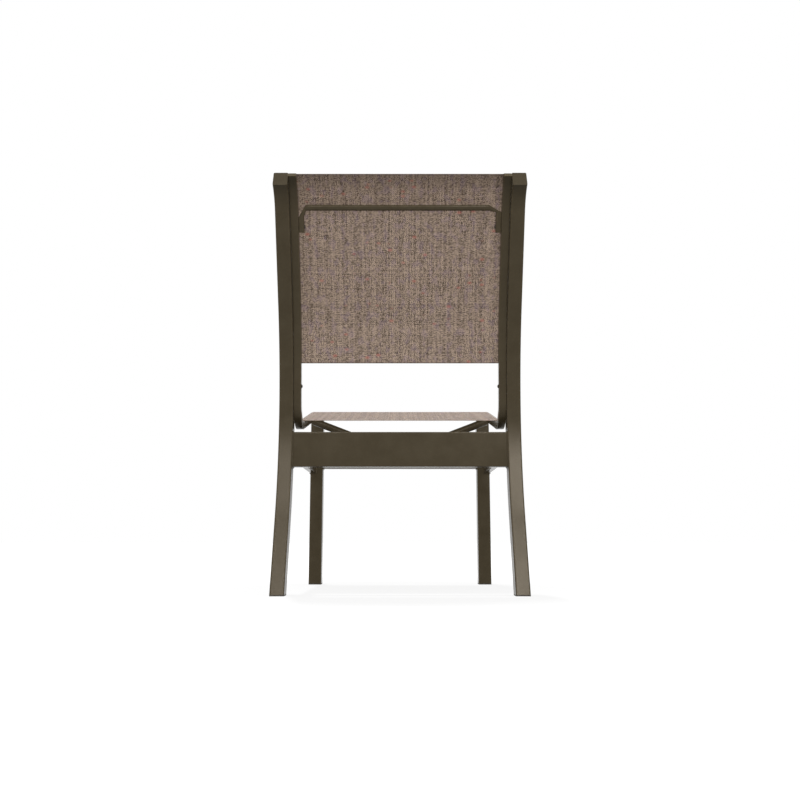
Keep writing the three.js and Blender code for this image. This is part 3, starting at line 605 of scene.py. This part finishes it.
# The slings' weave. A yarn's three shares are those of its own tone, of one that drifts along it, and of
# its band's. YARN_APART spaces the yarns out in the drifting noise. YARN_BACK and YARN_CROWN are the angles
# that the two cosines of a yarn's height run through, across the yarn and along one crossing
WARP_PAIR = 0.0023
WEFT_PAIR = 0.0021
WARP_SHARES = (0.52, 0.62, 0.08)
WEFT_SHARES = (0.28, 0.30, 0.10)
STITCH_SHARE = 0.66
YARN_APART = 7.31
YARN_BACK = 2.6
YARN_CROWN = 2.4
WARP_TONES = (paint(68, 53, 41), paint(195, 172, 152))
WEFT_TONES = (paint(58, 46, 35), paint(187, 163, 143))
MAUVE_YARN = paint(146, 124, 146)
RUST_YARN = paint(186, 104, 92)
# The dark tone of the gaps between the yarns is painted shade
GAP_PAINTED_SHADE = paint(58, 47, 39)
CUT_EDGE = paint(84, 66, 54)

# Steps a metre across and along the cloth of its bands of tone, and of its mauve and rust stretches
BAND_STEPS = (95, 11, 1)
BAR_STEPS = (18, 190, 1)
MAUVE_STEPS = (75, 50, 1)
RUST_STEPS = (38, 60, 1)

# Where the mauve, the rust, the painted shade in the gaps between yarns and the cut edges begin and end, and
# the most that each covers
MAUVE_FROM_TO, MAUVE_MOST = (0.52, 0.62), 0.45
RUST_FROM_TO, RUST_MOST = (0.12, 0.26), 0.5
RUST_CHOSEN_FROM_TO = (0.66, 0.68)
GAP_SHADE_FROM_TO, GAP_SHADE_MOST = (0.05, 0.4), 0.7
CUT_EDGE_FROM_TO, CUT_EDGE_MOST = (0.0008, 0.0016), 0.6


def sling_cloth(name, length):
    """Basket weave of coated yarns, two by two: pairs of yarns that pass over each other in turn.

    The first number of the piece's own map is the distance across from its middle, and the second is the
    distance from its lower cut edge. Each yarn has its own tone, which drifts along it. Tones also run in
    soft bands, and small stretches are mauve or rust.
    """
    cloth = Finish(name, vector="UV")
    split = cloth.node("SeparateXYZ", {"Vector": cloth.place})
    across, along = split.outputs[0], split.outputs[1]
    warp = cloth.math("DIVIDE", across, WARP_PAIR)
    weft = cloth.math("DIVIDE", along, WEFT_PAIR)
    warp_pair, weft_pair = cloth.math("FLOOR", warp), cloth.math("FLOOR", weft)
    over = cloth.math("FLOORED_MODULO", cloth.math("ADD", warp_pair, weft_pair), 2.0)

    def yarn_height(count, cross_count):
        """A yarn is round across, and highest where it passes over the middle of the other pair."""
        beside = cloth.math("SUBTRACT", cloth.math("FRACT", cloth.math("MULTIPLY", count, 2.0)), 0.5)
        along_yarn = cloth.math("SUBTRACT", cloth.math("FRACT", cross_count), 0.5)
        back = cloth.math("COSINE", cloth.math("MULTIPLY", beside, YARN_BACK))
        crown = cloth.math("COSINE", cloth.math("MULTIPLY", along_yarn, YARN_CROWN))
        return cloth.math("MULTIPLY", back, crown)

    crossing = cloth.node("CombineXYZ", {"X": warp_pair, "Y": weft_pair}).outputs[0]
    stitch = cloth.node("TexWhiteNoise", {"Vector": crossing}, noise_dimensions="2D").outputs["Value"]

    def yarn_tone(pair, position, drift, seed, shares, band):
        """A tone for each pair of yarns: its own, a drifting one, a soft band's and each stitch's."""
        number = cloth.math("ADD", pair, seed)
        own = cloth.node("TexWhiteNoise", {"W": number}, noise_dimensions="1D").outputs["Value"]
        place = cloth.node("CombineXYZ", {"X": cloth.math("MULTIPLY", number, YARN_APART),
                                          "Y": cloth.math("MULTIPLY", position, drift)}).outputs[0]
        drifting = cloth.spread(cloth.noise(place))
        tone = cloth.math("MULTIPLY", stitch, STITCH_SHARE)
        for value, share in zip((own, drifting, band), shares):
            tone = cloth.math("MULTIPLY_ADD", value, share, tone)
        low = (STITCH_SHARE + sum(shares) - 1) / 2
        return cloth.span(tone, low, low + 1)

    band = cloth.spread(cloth.noise(cloth.stretched(*BAND_STEPS)))
    bar = cloth.spread(cloth.noise(cloth.stretched(*BAR_STEPS)))
    warp_tone = yarn_tone(warp_pair, along, drift=20, seed=400, shares=WARP_SHARES, band=band)
    weft_tone = yarn_tone(weft_pair, across, drift=40, seed=900, shares=WEFT_SHARES, band=bar)
    warp_colour = cloth.mix(warp_tone, *WARP_TONES)
    weft_colour = cloth.mix(weft_tone, *WEFT_TONES)

    mauve = cloth.noise(cloth.stretched(*MAUVE_STEPS))
    mauve = cloth.span(mauve, *MAUVE_FROM_TO, to_high=MAUVE_MOST)
    warp_colour = cloth.mix(mauve, warp_colour, MAUVE_YARN)
    tone = cloth.mix(over, warp_colour, weft_colour)
    patch = cloth.node("TexVoronoi", {"Vector": cloth.stretched(*RUST_STEPS), "Scale": 1.0})
    chosen = cloth.node("SeparateColor", {"Color": patch.outputs["Color"]}).outputs[0]
    rust = cloth.math("MULTIPLY", cloth.span(patch.outputs["Distance"], *RUST_FROM_TO, RUST_MOST, 0.0),
                      cloth.span(chosen, *RUST_CHOSEN_FROM_TO))
    tone = cloth.mix(rust, tone, RUST_YARN)

    height = cloth.node("Mix", {0: over}, data_type="FLOAT")
    cloth.feed(height.inputs[2], yarn_height(warp, weft))
    cloth.feed(height.inputs[3], yarn_height(weft, warp))
    height = height.outputs[0]
    # Painted shade: the low places of the weave, between the yarns, are darkened
    tone = cloth.mix(cloth.span(height, *GAP_SHADE_FROM_TO, GAP_SHADE_MOST, 0.0), tone, GAP_PAINTED_SHADE)
    from_edge = cloth.math("MINIMUM", along, cloth.math("SUBTRACT", length, along))
    tone = cloth.mix(cloth.span(from_edge, *CUT_EDGE_FROM_TO, CUT_EDGE_MOST, 0.0), tone, CUT_EDGE)
    cloth.set(Base_Color=tone, Specular_IOR_Level=0.35, Sheen_Weight=0.12, Sheen_Roughness=0.4)
    cloth.set(Roughness=cloth.span(height, 0.1, 0.8, 0.8, 0.6))
    cloth.bump(height, distance=0.00025, strength=0.8)
    return cloth.material


COAT, ROD, STEEL = bronze_powder_coat(), rod_plastic(), dark_steel()
NYLON = moulded_nylon("dark_plastic", NYLON_TONES, specular=0.3)
BRONZE_NYLON = moulded_nylon("bronze_plastic", BRONZE_NYLON_TONES, specular=0.06)


# The frame's tubes
def add_bar(name, route, section, distances, *nodes, through=()):
    """A section carried along a route, with its ends cut by planes where some are given."""
    places = route.surface(distances, section[:, 0], section[:, 1])
    for row, neighbour, point, normal in through:
        trim(places, row, neighbour, np.array(point), np.array(normal, float))
    add_tube(name, places, COAT, "bronze_powder_coat", *nodes, rub=corner_rub(section))


def rear_leg(name, side):
    """A box section carried along the leg's route, cut level on top of its glide."""
    section = rounded_rectangle(LEG_INNER, -LEG_DEPTH / 2, HALF_WIDTH, LEG_DEPTH / 2, LEG_CORNER)
    distances = LEG_ROUTE.stations(LEG_OVERRUN, LEG_ROUTE.length - CAP_THICKNESS)
    floor_cut = (0, 1, (0, 0, GLIDE_THICKNESS), (0, 0, 1))
    add_bar(f"rear_leg_tube_{name}", LEG_ROUTE, on_side(section, side), distances,
            f"rear_leg_{name}", through=[floor_cut])


def sling_rail(name, side):
    """The rail's section carried along its route, with its top end cut along the leaning top cap."""
    first = CAP_THICKNESS + SEAM
    top = RAIL_ROUTE.point(RAIL_TOP, 0, RAIL_FACE)
    cut_lean = radians(RAIL_TOP_CUT_LEAN)
    normal = np.array([0, sin(cut_lean), cos(cut_lean)])
    top_cut = (-1, -2, top - normal * CAP_THICKNESS, normal)
    distances = RAIL_ROUTE.stations(first, RAIL_TOP - CAP_THICKNESS * 2)
    add_bar(f"sling_rail_extrusion_{name}", RAIL_ROUTE, on_side(rail_section(), side), distances,
            f"sling_rail_{name}", through=[top_cut])


def front_leg(name, side):
    """An upright open tube: up its outside, over its coped top, down its inside and across its foot."""
    low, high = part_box(f"front_leg_{name}")
    middle_y = (low.y + high.y) / 2
    below_rail = np.array([-RAIL_FACE - SEAM])
    under = RAIL_ROUTE.surface(RAIL_ROUTE.stations(0, SEAT_REAR), np.zeros(1), below_rail)[:, 0]
    order = np.argsort(under[:, 1])

    def ring(inset, height_share, below_top):
        """A section inside the outer one by inset, at a share of the height under the rail."""
        half_depth = FRONT_LEG_DEPTH / 2 - inset
        section = rounded_rectangle(FRONT_LEG_INNER + inset, -half_depth, RAIL_OUTER - inset, half_depth,
                                    max(LEG_CORNER - inset, SEAM))
        x, y = side * section[:, 0], middle_y + section[:, 1]
        top = np.interp(y, under[order, 1], under[order, 2])
        z = low.z + (top - below_top - low.z) * height_share
        return np.stack([x, y, z], axis=1), corner_rub(section)

    shares = np.linspace(0, 1, FRONT_LEG_ROWS)
    edge = TUBE_WALL / 5
    rows = [ring(0, share, edge) for share in shares] + [ring(edge, 1, 0), ring(TUBE_WALL - edge, 1, 0)]
    rows += [ring(TUBE_WALL, share, edge) for share in shares[::-1]]
    places = np.stack([row[0] for row in rows])
    faces = grid_faces(*places.shape[:2], wrap_columns=True, wrap_rows=True).tolist()
    mesh = make_mesh(f"front_leg_tube_{name}", places, faces, rub=np.stack([row[1] for row in rows]))
    add_piece(mesh, COAT, "bronze_powder_coat", f"front_leg_{name}")


def box_bar(name, node, shape, plane, half_length):
    """A straight box tube along a plane's square direction, centred on the plane's origin."""
    section = box_section(*shape)
    ends = np.linspace(-half_length, half_length, int(half_length * 2 / LONGEST_STEP) + 2)
    places = plane.place(*(np.broadcast_to(each, (len(ends), len(section)))
                           for each in (section[:, 0], section[:, 1], ends[:, None])))
    add_tube(name, places, COAT, "bronze_powder_coat", node, rub=corner_rub(section))


def weld_bead(name, plane, shape, direction):
    """A fillet round the foot of a box tube: a quarter circle carried round the tube's outline.

    Its radius is the bead's size times 1 + swell |sin(pi distance / pitch)|, as beads are laid one after
    another. direction is the way that the tube leaves the wall.
    """
    outline = box_section(*shape, steps=BEAD_CORNER_STEPS)
    closed = np.concatenate([outline, outline[:1]])
    walked = np.concatenate([[0], np.cumsum(np.linalg.norm(np.diff(closed, axis=0), axis=1))])
    beads = round(walked[-1] / BEAD_PITCH)
    distance = np.linspace(0, walked[-1], beads * STEPS_A_BEAD + 1)[:-1]
    path = np.stack([np.interp(distance, walked, closed[:, axis]) for axis in (0, 1)], axis=1)
    ahead = np.roll(path, -1, axis=0) - np.roll(path, 1, axis=0)
    outward = np.stack([ahead[:, 1], -ahead[:, 0]], axis=1) / np.linalg.norm(ahead, axis=1)[:, None]
    ripple = 1 + BEAD_SWELL * np.abs(np.sin(distance / walked[-1] * beads * pi))
    size = BEAD_SIZE * ripple[:, None]
    angle = np.linspace(0, pi / 2, BEAD_ARC_POINTS)
    out = np.concatenate([[-BEAD_SINK, -BEAD_SINK], np.cos(angle), [-BEAD_SINK]])
    lower, upper = BEAD_HIDDEN_TOP
    away = np.concatenate([[lower, BEAD_LIFT], BEAD_LIFT + np.sin(angle), [upper]])
    across = size * out
    places = plane.place(path[:, 0, None] + outward[:, 0, None] * across,
                         path[:, 1, None] + outward[:, 1, None] * across, direction * size * away)
    faces = grid_faces(*places.shape[:2], wrap_columns=True, wrap_rows=True).tolist()
    add_piece(make_mesh(name, places, faces, rub=BEAD_RUB), COAT, "bronze_powder_coat")


def bars_between_legs():
    """The two crossbars and the two side stretchers, each with its weld beads."""
    across = ((0, 1, 0), (0, 0, 1))
    for node, half_span in (("rear_crossbar", LEG_INNER), ("front_crossbar", FRONT_LEG_INNER)):
        low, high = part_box(node)
        centre = np.array([0, (low.y + high.y) / 2, (low.z + high.z) / 2])
        box_bar(f"{node}_tube", node, CROSSBAR_SHAPE, Plane(centre, *across), half_span)
        for name, side in SIDES.items():
            plane = Plane(centre + np.array([side * half_span, 0, 0]), *across)
            toward_middle = -side * np.sign(plane.square[0])
            weld_bead(f"{node}_weld_{name}", plane, CROSSBAR_SHAPE, toward_middle)
    along = ((1, 0, 0), (0, 0, 1))
    for name, side in SIDES.items():
        low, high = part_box(f"side_stretcher_{name}")
        centre = np.array([(low.x + high.x) / 2, (low.y + high.y) / 2, (low.z + high.z) / 2])
        half = (high.y - low.y) / 2 + SEAM
        box_bar(f"side_stretcher_tube_{name}", f"side_stretcher_{name}", STRETCHER_SHAPE,
                Plane(centre, *along), half)
        for end, step in (("rear", 1), ("front", -1)):
            plane = Plane(centre + np.array([0, step * half, 0]), *along)
            toward_middle = -step * np.sign(plane.square[1])
            weld_bead(f"stretcher_{end}_weld_{name}", plane, STRETCHER_SHAPE, toward_middle)


# Spreaders
def back_spreader():
    """A square bar along the back, bent down at both ends to lie beside the rails."""
    lean = radians(BACK_LEAN)
    plane = Plane(BACK_SCREW, (1, 0, 0), (0, sin(lean), cos(lean)))
    inner = RAIL_INNER - SEAM - BACK_BAR_SIZE
    middle = inner + BACK_BAR_SIZE / 2
    upright = straight(BACK_BAR_BELOW_SCREW + BACK_BAR_ABOVE_SCREW - BACK_BAR_BEND_RADIUS)
    runs = {
        "right_end": upright,
        "right_bend": bend(BACK_BAR_BEND_RADIUS, 90),
        "middle": straight((middle - BACK_BAR_BEND_RADIUS) * 2),
        "left_bend": bend(BACK_BAR_BEND_RADIUS, 90),
        "left_end": upright,
    }
    route = Route(plane, 0, runs, "right_end", (-middle, -BACK_BAR_BELOW_SCREW))
    section = box_section(BACK_BAR_SIZE, BACK_BAR_SIZE, BACK_BAR_CORNER)
    add_bar("back_spreader_bar", route, section, route.stations(), "back_spreader")


def seat_spreader():
    """A round tube that dips under the seat. Each arm drops by what its bend leaves of the whole drop."""
    slope = radians(SEAT_BAR_SLOPE)
    plane = Plane(SEAT_BAR_END, (1, 0, 0), (0, 0, 1))
    arm = (SEAT_BAR_DROP - SEAT_BAR_BEND_RADIUS * (1 - cos(slope))) / sin(slope)
    middle = RAIL_INNER - arm * cos(slope) - SEAT_BAR_BEND_RADIUS * sin(slope)
    runs = {
        "right_arm": straight(arm),
        "right_bend": bend(SEAT_BAR_BEND_RADIUS, -SEAT_BAR_SLOPE),
        "middle": straight(middle * 2),
        "left_bend": bend(SEAT_BAR_BEND_RADIUS, -SEAT_BAR_SLOPE),
        "left_arm": straight(arm),
    }
    route = Route(plane, 90 + SEAT_BAR_SLOPE, runs, "right_arm", (-RAIL_INNER, 0))
    end = RAIL_INNER - SEAM
    cuts = [(0, 1, (-end, 0, 0), (1, 0, 0)), (-1, -2, (end, 0, 0), (1, 0, 0))]
    section = circle(0, 0, SEAT_BAR_RADIUS, SEAT_BAR_STEPS)
    add_bar("seat_spreader_tube", route, section, route.stations(), "seat_spreader", through=cuts)


# Slings
def half_weave_path():
    """The cloth's path across one half, from the middle outwards, as points (across, level).

    It is straight lines joined by arcs: flat from the middle, down through the mouth, round the rod, up
    again and back under.
    """
    out_x, in_x = CHANNEL_X + NECK_HALF, CHANNEL_X - NECK_HALF
    turn = out_x - NECK_BEND
    taut_x = np.linspace(0, RAIL_INNER, TAUT_POINTS)
    flat_x = np.concatenate([taut_x, np.linspace(RAIL_INNER, turn, RAIL_POINTS)[1:-1]])
    down = arc(turn, CLOTH_LEVEL - NECK_BEND, NECK_BEND, 90, 0, NECK_STEPS)
    loop_radius = SLEEVE_BORE + CLOTH_THICKNESS / 2
    neck = degrees(asin(NECK_HALF / loop_radius))
    loop = arc(CHANNEL_X, CHANNEL_LEVEL, loop_radius, 90 - neck, neck - 270, LOOP_STEPS)
    back_bend = NECK_BEND / 2
    back = arc(in_x - back_bend, UNDERLAP_LEVEL - back_bend, back_bend, 0, 90, BACK_STEPS)
    under_x = np.linspace(in_x - back_bend, RAIL_INNER + RAIL_CORNER, UNDERLAP_POINTS)[1:]
    flat, under = (np.stack([x, np.full_like(x, level)], axis=1)
                   for x, level in ((flat_x, CLOTH_LEVEL), (under_x, UNDERLAP_LEVEL)))
    return np.concatenate([flat, down, loop, back, under])


def sling(name, span, sag, node):
    """A taut cloth: the path across is carried along the rails, and its middle dips square to them.

    The dip is sag times (1 - (x / half width)^2)^2. It fades out over the last three tenths towards each
    cut edge, as 3 s^2 - 2 s^3.
    """
    half = half_weave_path()
    section = np.concatenate([on_side(half[:0:-1], -1), half])
    steps = np.linalg.norm(np.diff(section, axis=0), axis=1)
    walked = np.concatenate([[0], np.cumsum(steps)])
    walked -= walked[-1] / 2
    distances = RAIL_ROUTE.stations(*span, longest=CLOTH_STEP)
    progress = (distances - span[0]) / (span[1] - span[0])
    fade = np.clip(np.minimum(progress, 1 - progress) / SAG_FADE_SHARE, 0, 1)
    fade = fade * fade * (3 - 2 * fade)
    inside = np.abs(section[:, 0]) < RAIL_INNER
    dip = np.where(inside, (1 - (section[:, 0] / RAIL_INNER) ** 2) ** 2, 0)
    level = section[:, 1] - sag * fade[:, None] * dip
    across = np.broadcast_to(section[:, 0], level.shape)
    places = RAIL_ROUTE.surface(distances, across, level)
    mesh = make_mesh(name, places, grid_faces(*places.shape[:2]).tolist(), closed=False)
    chart = np.broadcast_arrays(walked[None, :], (distances - span[0])[:, None])
    chart = np.stack(chart, axis=2).reshape(-1, 2)
    corners = np.zeros(len(mesh.loops), np.int32)
    mesh.loops.foreach_get("vertex_index", corners)
    mesh.uv_layers.new(name="weave").data.foreach_set("uv", chart[corners].astype(np.float32).ravel())
    length = float(span[1] - span[0])
    piece = add_piece(mesh, sling_cloth(f"{name}_weave", length), "sling_fabric", node)
    wall = piece.modifiers.new("cloth_thickness", "SOLIDIFY")
    wall.thickness = CLOTH_THICKNESS
    wall.offset = 0


def spline_rod(name, span, side, node):
    """A round rod along the middle of a rail's channel."""
    section = on_side(circle(CHANNEL_X, CHANNEL_LEVEL, ROD_RADIUS, ROD_STEPS), side)
    distances = RAIL_ROUTE.stations(*span)
    places = RAIL_ROUTE.surface(distances, section[:, 0], section[:, 1])
    add_tube(name, places, ROD, "rod_plastic", node)


# Screws
def button_head_screw(name, node, seat, direction, length):
    """A button-head screw along X: rings of points, from the middle of its socket to the end of its shank.

    The socket's rings are hexagons, with radius half / cos(angle within the flat). The others are round,
    and the crown's are a quarter ellipse: HEAD_RADIUS sin(a) wide and CROWN_SHARE HEAD_HEIGHT (1 - cos(a))
    deep, with a from CROWN_FROM pi to pi / 2.
    """
    angle = np.linspace(0, 2 * pi, SCREW_STEPS + 1)[:-1]
    hexagon = SOCKET_HALF / np.cos((angle % (pi / 3)) - pi / 6)
    crown = np.linspace(CROWN_FROM, 0.5, CROWN_ROWS) * pi
    end = HEAD_HEIGHT + length
    turned = [(HEAD_RADIUS * HEAD_FLAT_SHARE, 0.0)]
    turned += zip(HEAD_RADIUS * np.sin(crown), HEAD_HEIGHT * CROWN_SHARE * (1 - np.cos(crown)))
    turned += [(HEAD_RADIUS * wide, HEAD_HEIGHT * deep) for wide, deep in UNDER_HEAD_RINGS]
    turned += [(SHANK_RADIUS, HEAD_HEIGHT), (SHANK_RADIUS, end), (SHANK_RADIUS / 2, end + SEAM)]
    rings = [(hexagon * wide, SOCKET_DEPTH * deep) for wide, deep in SOCKET_RINGS]
    rings += [(np.full_like(angle, radius), depth) for radius, depth in turned]
    radius = np.stack([ring for ring, _ in rings])
    depth = np.array([each for _, each in rings])[:, None] - HEAD_HEIGHT
    places = np.stack([seat[0] + direction * (depth + 0 * radius), seat[1] + radius * np.cos(angle),
                       seat[2] + radius * np.sin(angle)], axis=2)
    add_tube(name, places, STEEL, "dark_steel", node)


def add_screws(name, side):
    """The screws of one side: through the waist, through the back spreader and into the seat spreader."""
    into_leg = RAIL_WIDTH + SHANK_INTO_LEG
    waist = (side * (RAIL_INNER - SEAM), *WAIST_BOLT[1:])
    button_head_screw(f"waist_bolt_head_{name}", f"waist_bolt_{name}", waist, side, into_leg)
    bar_inner = RAIL_INNER - SEAM - BACK_BAR_SIZE
    back = (side * (bar_inner - SEAM), *BACK_SCREW[1:])
    button_head_screw(f"back_screw_head_{name}", f"back_spreader_screw_{name}", back, side,
                      into_leg + BACK_BAR_SIZE)
    seat = (side * (RAIL_OUTER + SEAM), *SEAT_BAR_END[1:])
    button_head_screw(f"seat_bolt_head_{name}", f"seat_spreader_bolt_{name}", seat, -side,
                      RAIL_WIDTH + SHANK_INTO_PLUG)


for name, side in SIDES.items():
    rear_leg(name, side)
    sling_rail(name, side)
    front_leg(name, side)
    spline_rod(f"back_rod_{name}", BACK_SLING_SPAN, side, f"back_spline_rod_{name}")
    spline_rod(f"seat_rod_{name}", SEAT_SLING_SPAN, side, f"seat_spline_rod_{name}")
    add_screws(name, side)

bars_between_legs()
back_spreader()
seat_spreader()
sling("back_sling_cloth", BACK_SLING_SPAN, BACK_SAG, "back_sling")
sling("seat_sling_cloth", SEAT_SLING_SPAN, SEAT_SAG, "seat_sling")

# The finishes of the small CAD pieces that stay. The rails' top caps are moulded in the coat's colour
FINISH_OF = {
    "rear_leg_cap": COAT,
    "rear_foot_glide": NYLON,
    "front_foot_glide": NYLON,
    "front_leg_plug": NYLON,
    "rail_top_cap": BRONZE_NYLON,
    "rail_front_cap": NYLON,
    "seat_spreader_plug": STEEL,
}
for stem, finish in FINISH_OF.items():
    for name in SIDES:
        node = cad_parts[f"{stem}_{name}"]
        node.data.materials.clear()
        node.data.materials.append(finish)


# The studio. The floor's own white grows from FLOOR_OWN_WHITE to 1 between WHITE_FROM and WHITE_BY metres
# from the chair's middle. Levels and powers are those of the surround, the hard lamp and the softboxes
FLOOR_REACH = 30.0
FLOOR_OWN_WHITE = 0.768
FLOOR_LIT_SHARE = 0.22
FLOOR_BOUNCE = 0.27
WHITE_FROM = 0.42
WHITE_BY = 0.85
WORLD_LEVEL = 0.4
SUN_LEVEL = 1.0
SUN_ANGLE = 3
SUN_FROM = (0.088, -0.222, 0.914)
SOFTBOX_PLACE = (1.04, 5.7, 2.95)
SOFTBOX_WIDTH = 0.84
SOFTBOX_HEIGHT = 2.7
SOFTBOX_POWER = {"left": 80, "right": 146}
TOP_BOX_PLACE = (0, 2.2, 3.2)
TOP_BOX_SIZE = 1.5
TOP_BOX_POWER = 5
FILL_DISTANCE = 2.9
FILL_HEIGHT = 1.6
SIDE_FILL_POWER = 18
FRONT_FILL_POWER = 3
CAMERA_BEHIND_FOOT = 1.8786
CAMERA_HEIGHT = 0.1177
CAMERA_PITCH = 9.27
CAMERA_LENS = 38.61
CAMERA_SENSOR = 36
CAMERA_NEAR = 0.01
CAMERA_FAR = 100


def grey(level):
    """A neutral colour."""
    return (level, level, level, 1)


def add_floor():
    """A wide white floor.

    What the camera sees of it is partly lit, so that it keeps the chair's shadow, and partly its own white,
    which grows with the distance from the chair until all is white. Other rays meet plain grey paint.
    """
    x, y = np.meshgrid([-FLOOR_REACH, FLOOR_REACH], [-FLOOR_REACH, FLOOR_REACH])
    corners = np.stack([x, y, 0 * x], axis=2)
    mesh = make_mesh("studio_floor", corners, grid_faces(2, 2).tolist(), closed=False)
    floor = bpy.data.objects.new("studio_floor", mesh)
    bpy.context.scene.collection.objects.link(floor)
    white = Finish("studio_floor")
    far = white.node("VectorMath", {0: white.place}, operation="LENGTH").outputs["Value"]
    own = white.span(far, WHITE_FROM, WHITE_BY, FLOOR_OWN_WHITE, 1.0)
    emission = white.node("Emission", {"Strength": own})
    lit = white.node("BsdfDiffuse", {"Color": grey(FLOOR_LIT_SHARE)})
    shown = white.node("AddShader", {0: emission.outputs[0], 1: lit.outputs[0]})
    grey_paint = white.node("BsdfDiffuse", {"Color": grey(FLOOR_BOUNCE)})
    ray = white.node("LightPath")
    seen = white.math("MAXIMUM", ray.outputs["Is Camera Ray"], ray.outputs["Is Glossy Ray"])
    seen = white.math("MAXIMUM", seen, ray.outputs["Is Transmission Ray"])
    pick = white.node("MixShader", {0: seen, 1: grey_paint.outputs[0], 2: shown.outputs[0]})
    white.feed(white.tree.nodes["Material Output"].inputs["Surface"], pick.outputs[0])
    white.tree.nodes.remove(white.shader)
    mesh.materials.append(white.material)


def light_world():
    """A white surround: full white where it is seen, mirrored or looked through, and softer as a light."""
    world = bpy.data.worlds.new("studio")
    bpy.context.scene.world = world
    world.use_nodes = True
    nodes, links = world.node_tree.nodes, world.node_tree.links
    ray = nodes.new("ShaderNodeLightPath")
    strength = None
    for kind in ("Is Camera Ray", "Is Glossy Ray", "Is Transmission Ray"):
        most = nodes.new("ShaderNodeMath")
        most.operation = "MAXIMUM"
        most.inputs[1].default_value = WORLD_LEVEL
        if strength:
            links.new(strength, most.inputs[1])
        links.new(ray.outputs[kind], most.inputs[0])
        strength = most.outputs[0]
    nodes["Background"].inputs["Color"].default_value = grey(1)
    links.new(strength, nodes["Background"].inputs["Strength"])


def add_lamp(name, kind, place, direction, **settings):
    """A lamp that shines in a direction."""
    light = bpy.data.lights.new(name, kind)
    for key, value in settings.items():
        setattr(light, key, value)
    lamp = bpy.data.objects.new(name, light)
    bpy.context.scene.collection.objects.link(lamp)
    lamp.location = place
    lamp.rotation_euler = Vector(direction).to_track_quat("-Z", "Y").to_euler()
    return lamp


def add_lamps():
    """A hard lamp nearly overhead and six softboxes.

    Two upright softboxes stand far behind the camera, one is high above it, one is on each side of the
    chair, and one is in front. The softboxes throw no shadows, and the hard lamp isn't mirrored.
    """
    overhead = add_lamp("overhead", "SUN", SUN_FROM, -np.array(SUN_FROM), energy=SUN_LEVEL,
                        angle=radians(SUN_ANGLE))
    overhead.visible_glossy = False
    boxes = {f"softbox_{name}": (np.array(SOFTBOX_PLACE) * (side, 1, 1), SOFTBOX_WIDTH, SOFTBOX_HEIGHT,
                                 SOFTBOX_POWER[name]) for name, side in SIDES.items()}
    boxes["softbox_top"] = (np.array(TOP_BOX_PLACE), TOP_BOX_SIZE, TOP_BOX_SIZE, TOP_BOX_POWER)
    for name, x, y, power in (("fill_left", 1, 0, SIDE_FILL_POWER),
                              ("fill_right", -1, 0, SIDE_FILL_POWER),
                              ("fill_front", 0, -1, FRONT_FILL_POWER)):
        place = np.array([x * FILL_DISTANCE, y * FILL_DISTANCE, FILL_HEIGHT])
        boxes[name] = (place, TOP_BOX_SIZE, TOP_BOX_SIZE, power)
    for name, (place, width, height, power) in boxes.items():
        to_chair = np.array([0, FOOT_MIDDLE_Y, BACK_HEIGHT / 2]) - place
        add_lamp(name, "AREA", place, to_chair, energy=power, shape="RECTANGLE", size=width,
                 size_y=height, use_shadow=False)


def add_camera():
    """The photograph's camera: on the chair's middle plane, low behind it, looking slightly up."""
    camera = bpy.data.objects.new("camera", bpy.data.cameras.new("camera"))
    bpy.context.scene.collection.objects.link(camera)
    camera.data.sensor_width = CAMERA_SENSOR
    camera.data.lens = CAMERA_LENS
    camera.data.clip_start = CAMERA_NEAR
    camera.data.clip_end = CAMERA_FAR
    camera.location = (0, FOOT_MIDDLE_Y + CAMERA_BEHIND_FOOT, CAMERA_HEIGHT)
    camera.rotation_euler = (radians(90 + CAMERA_PITCH), 0, radians(180))
    bpy.context.scene.camera = camera


add_floor()
light_world()
add_lamps()
add_camera()
bpy.context.scene.view_settings.view_transform = "Standard"
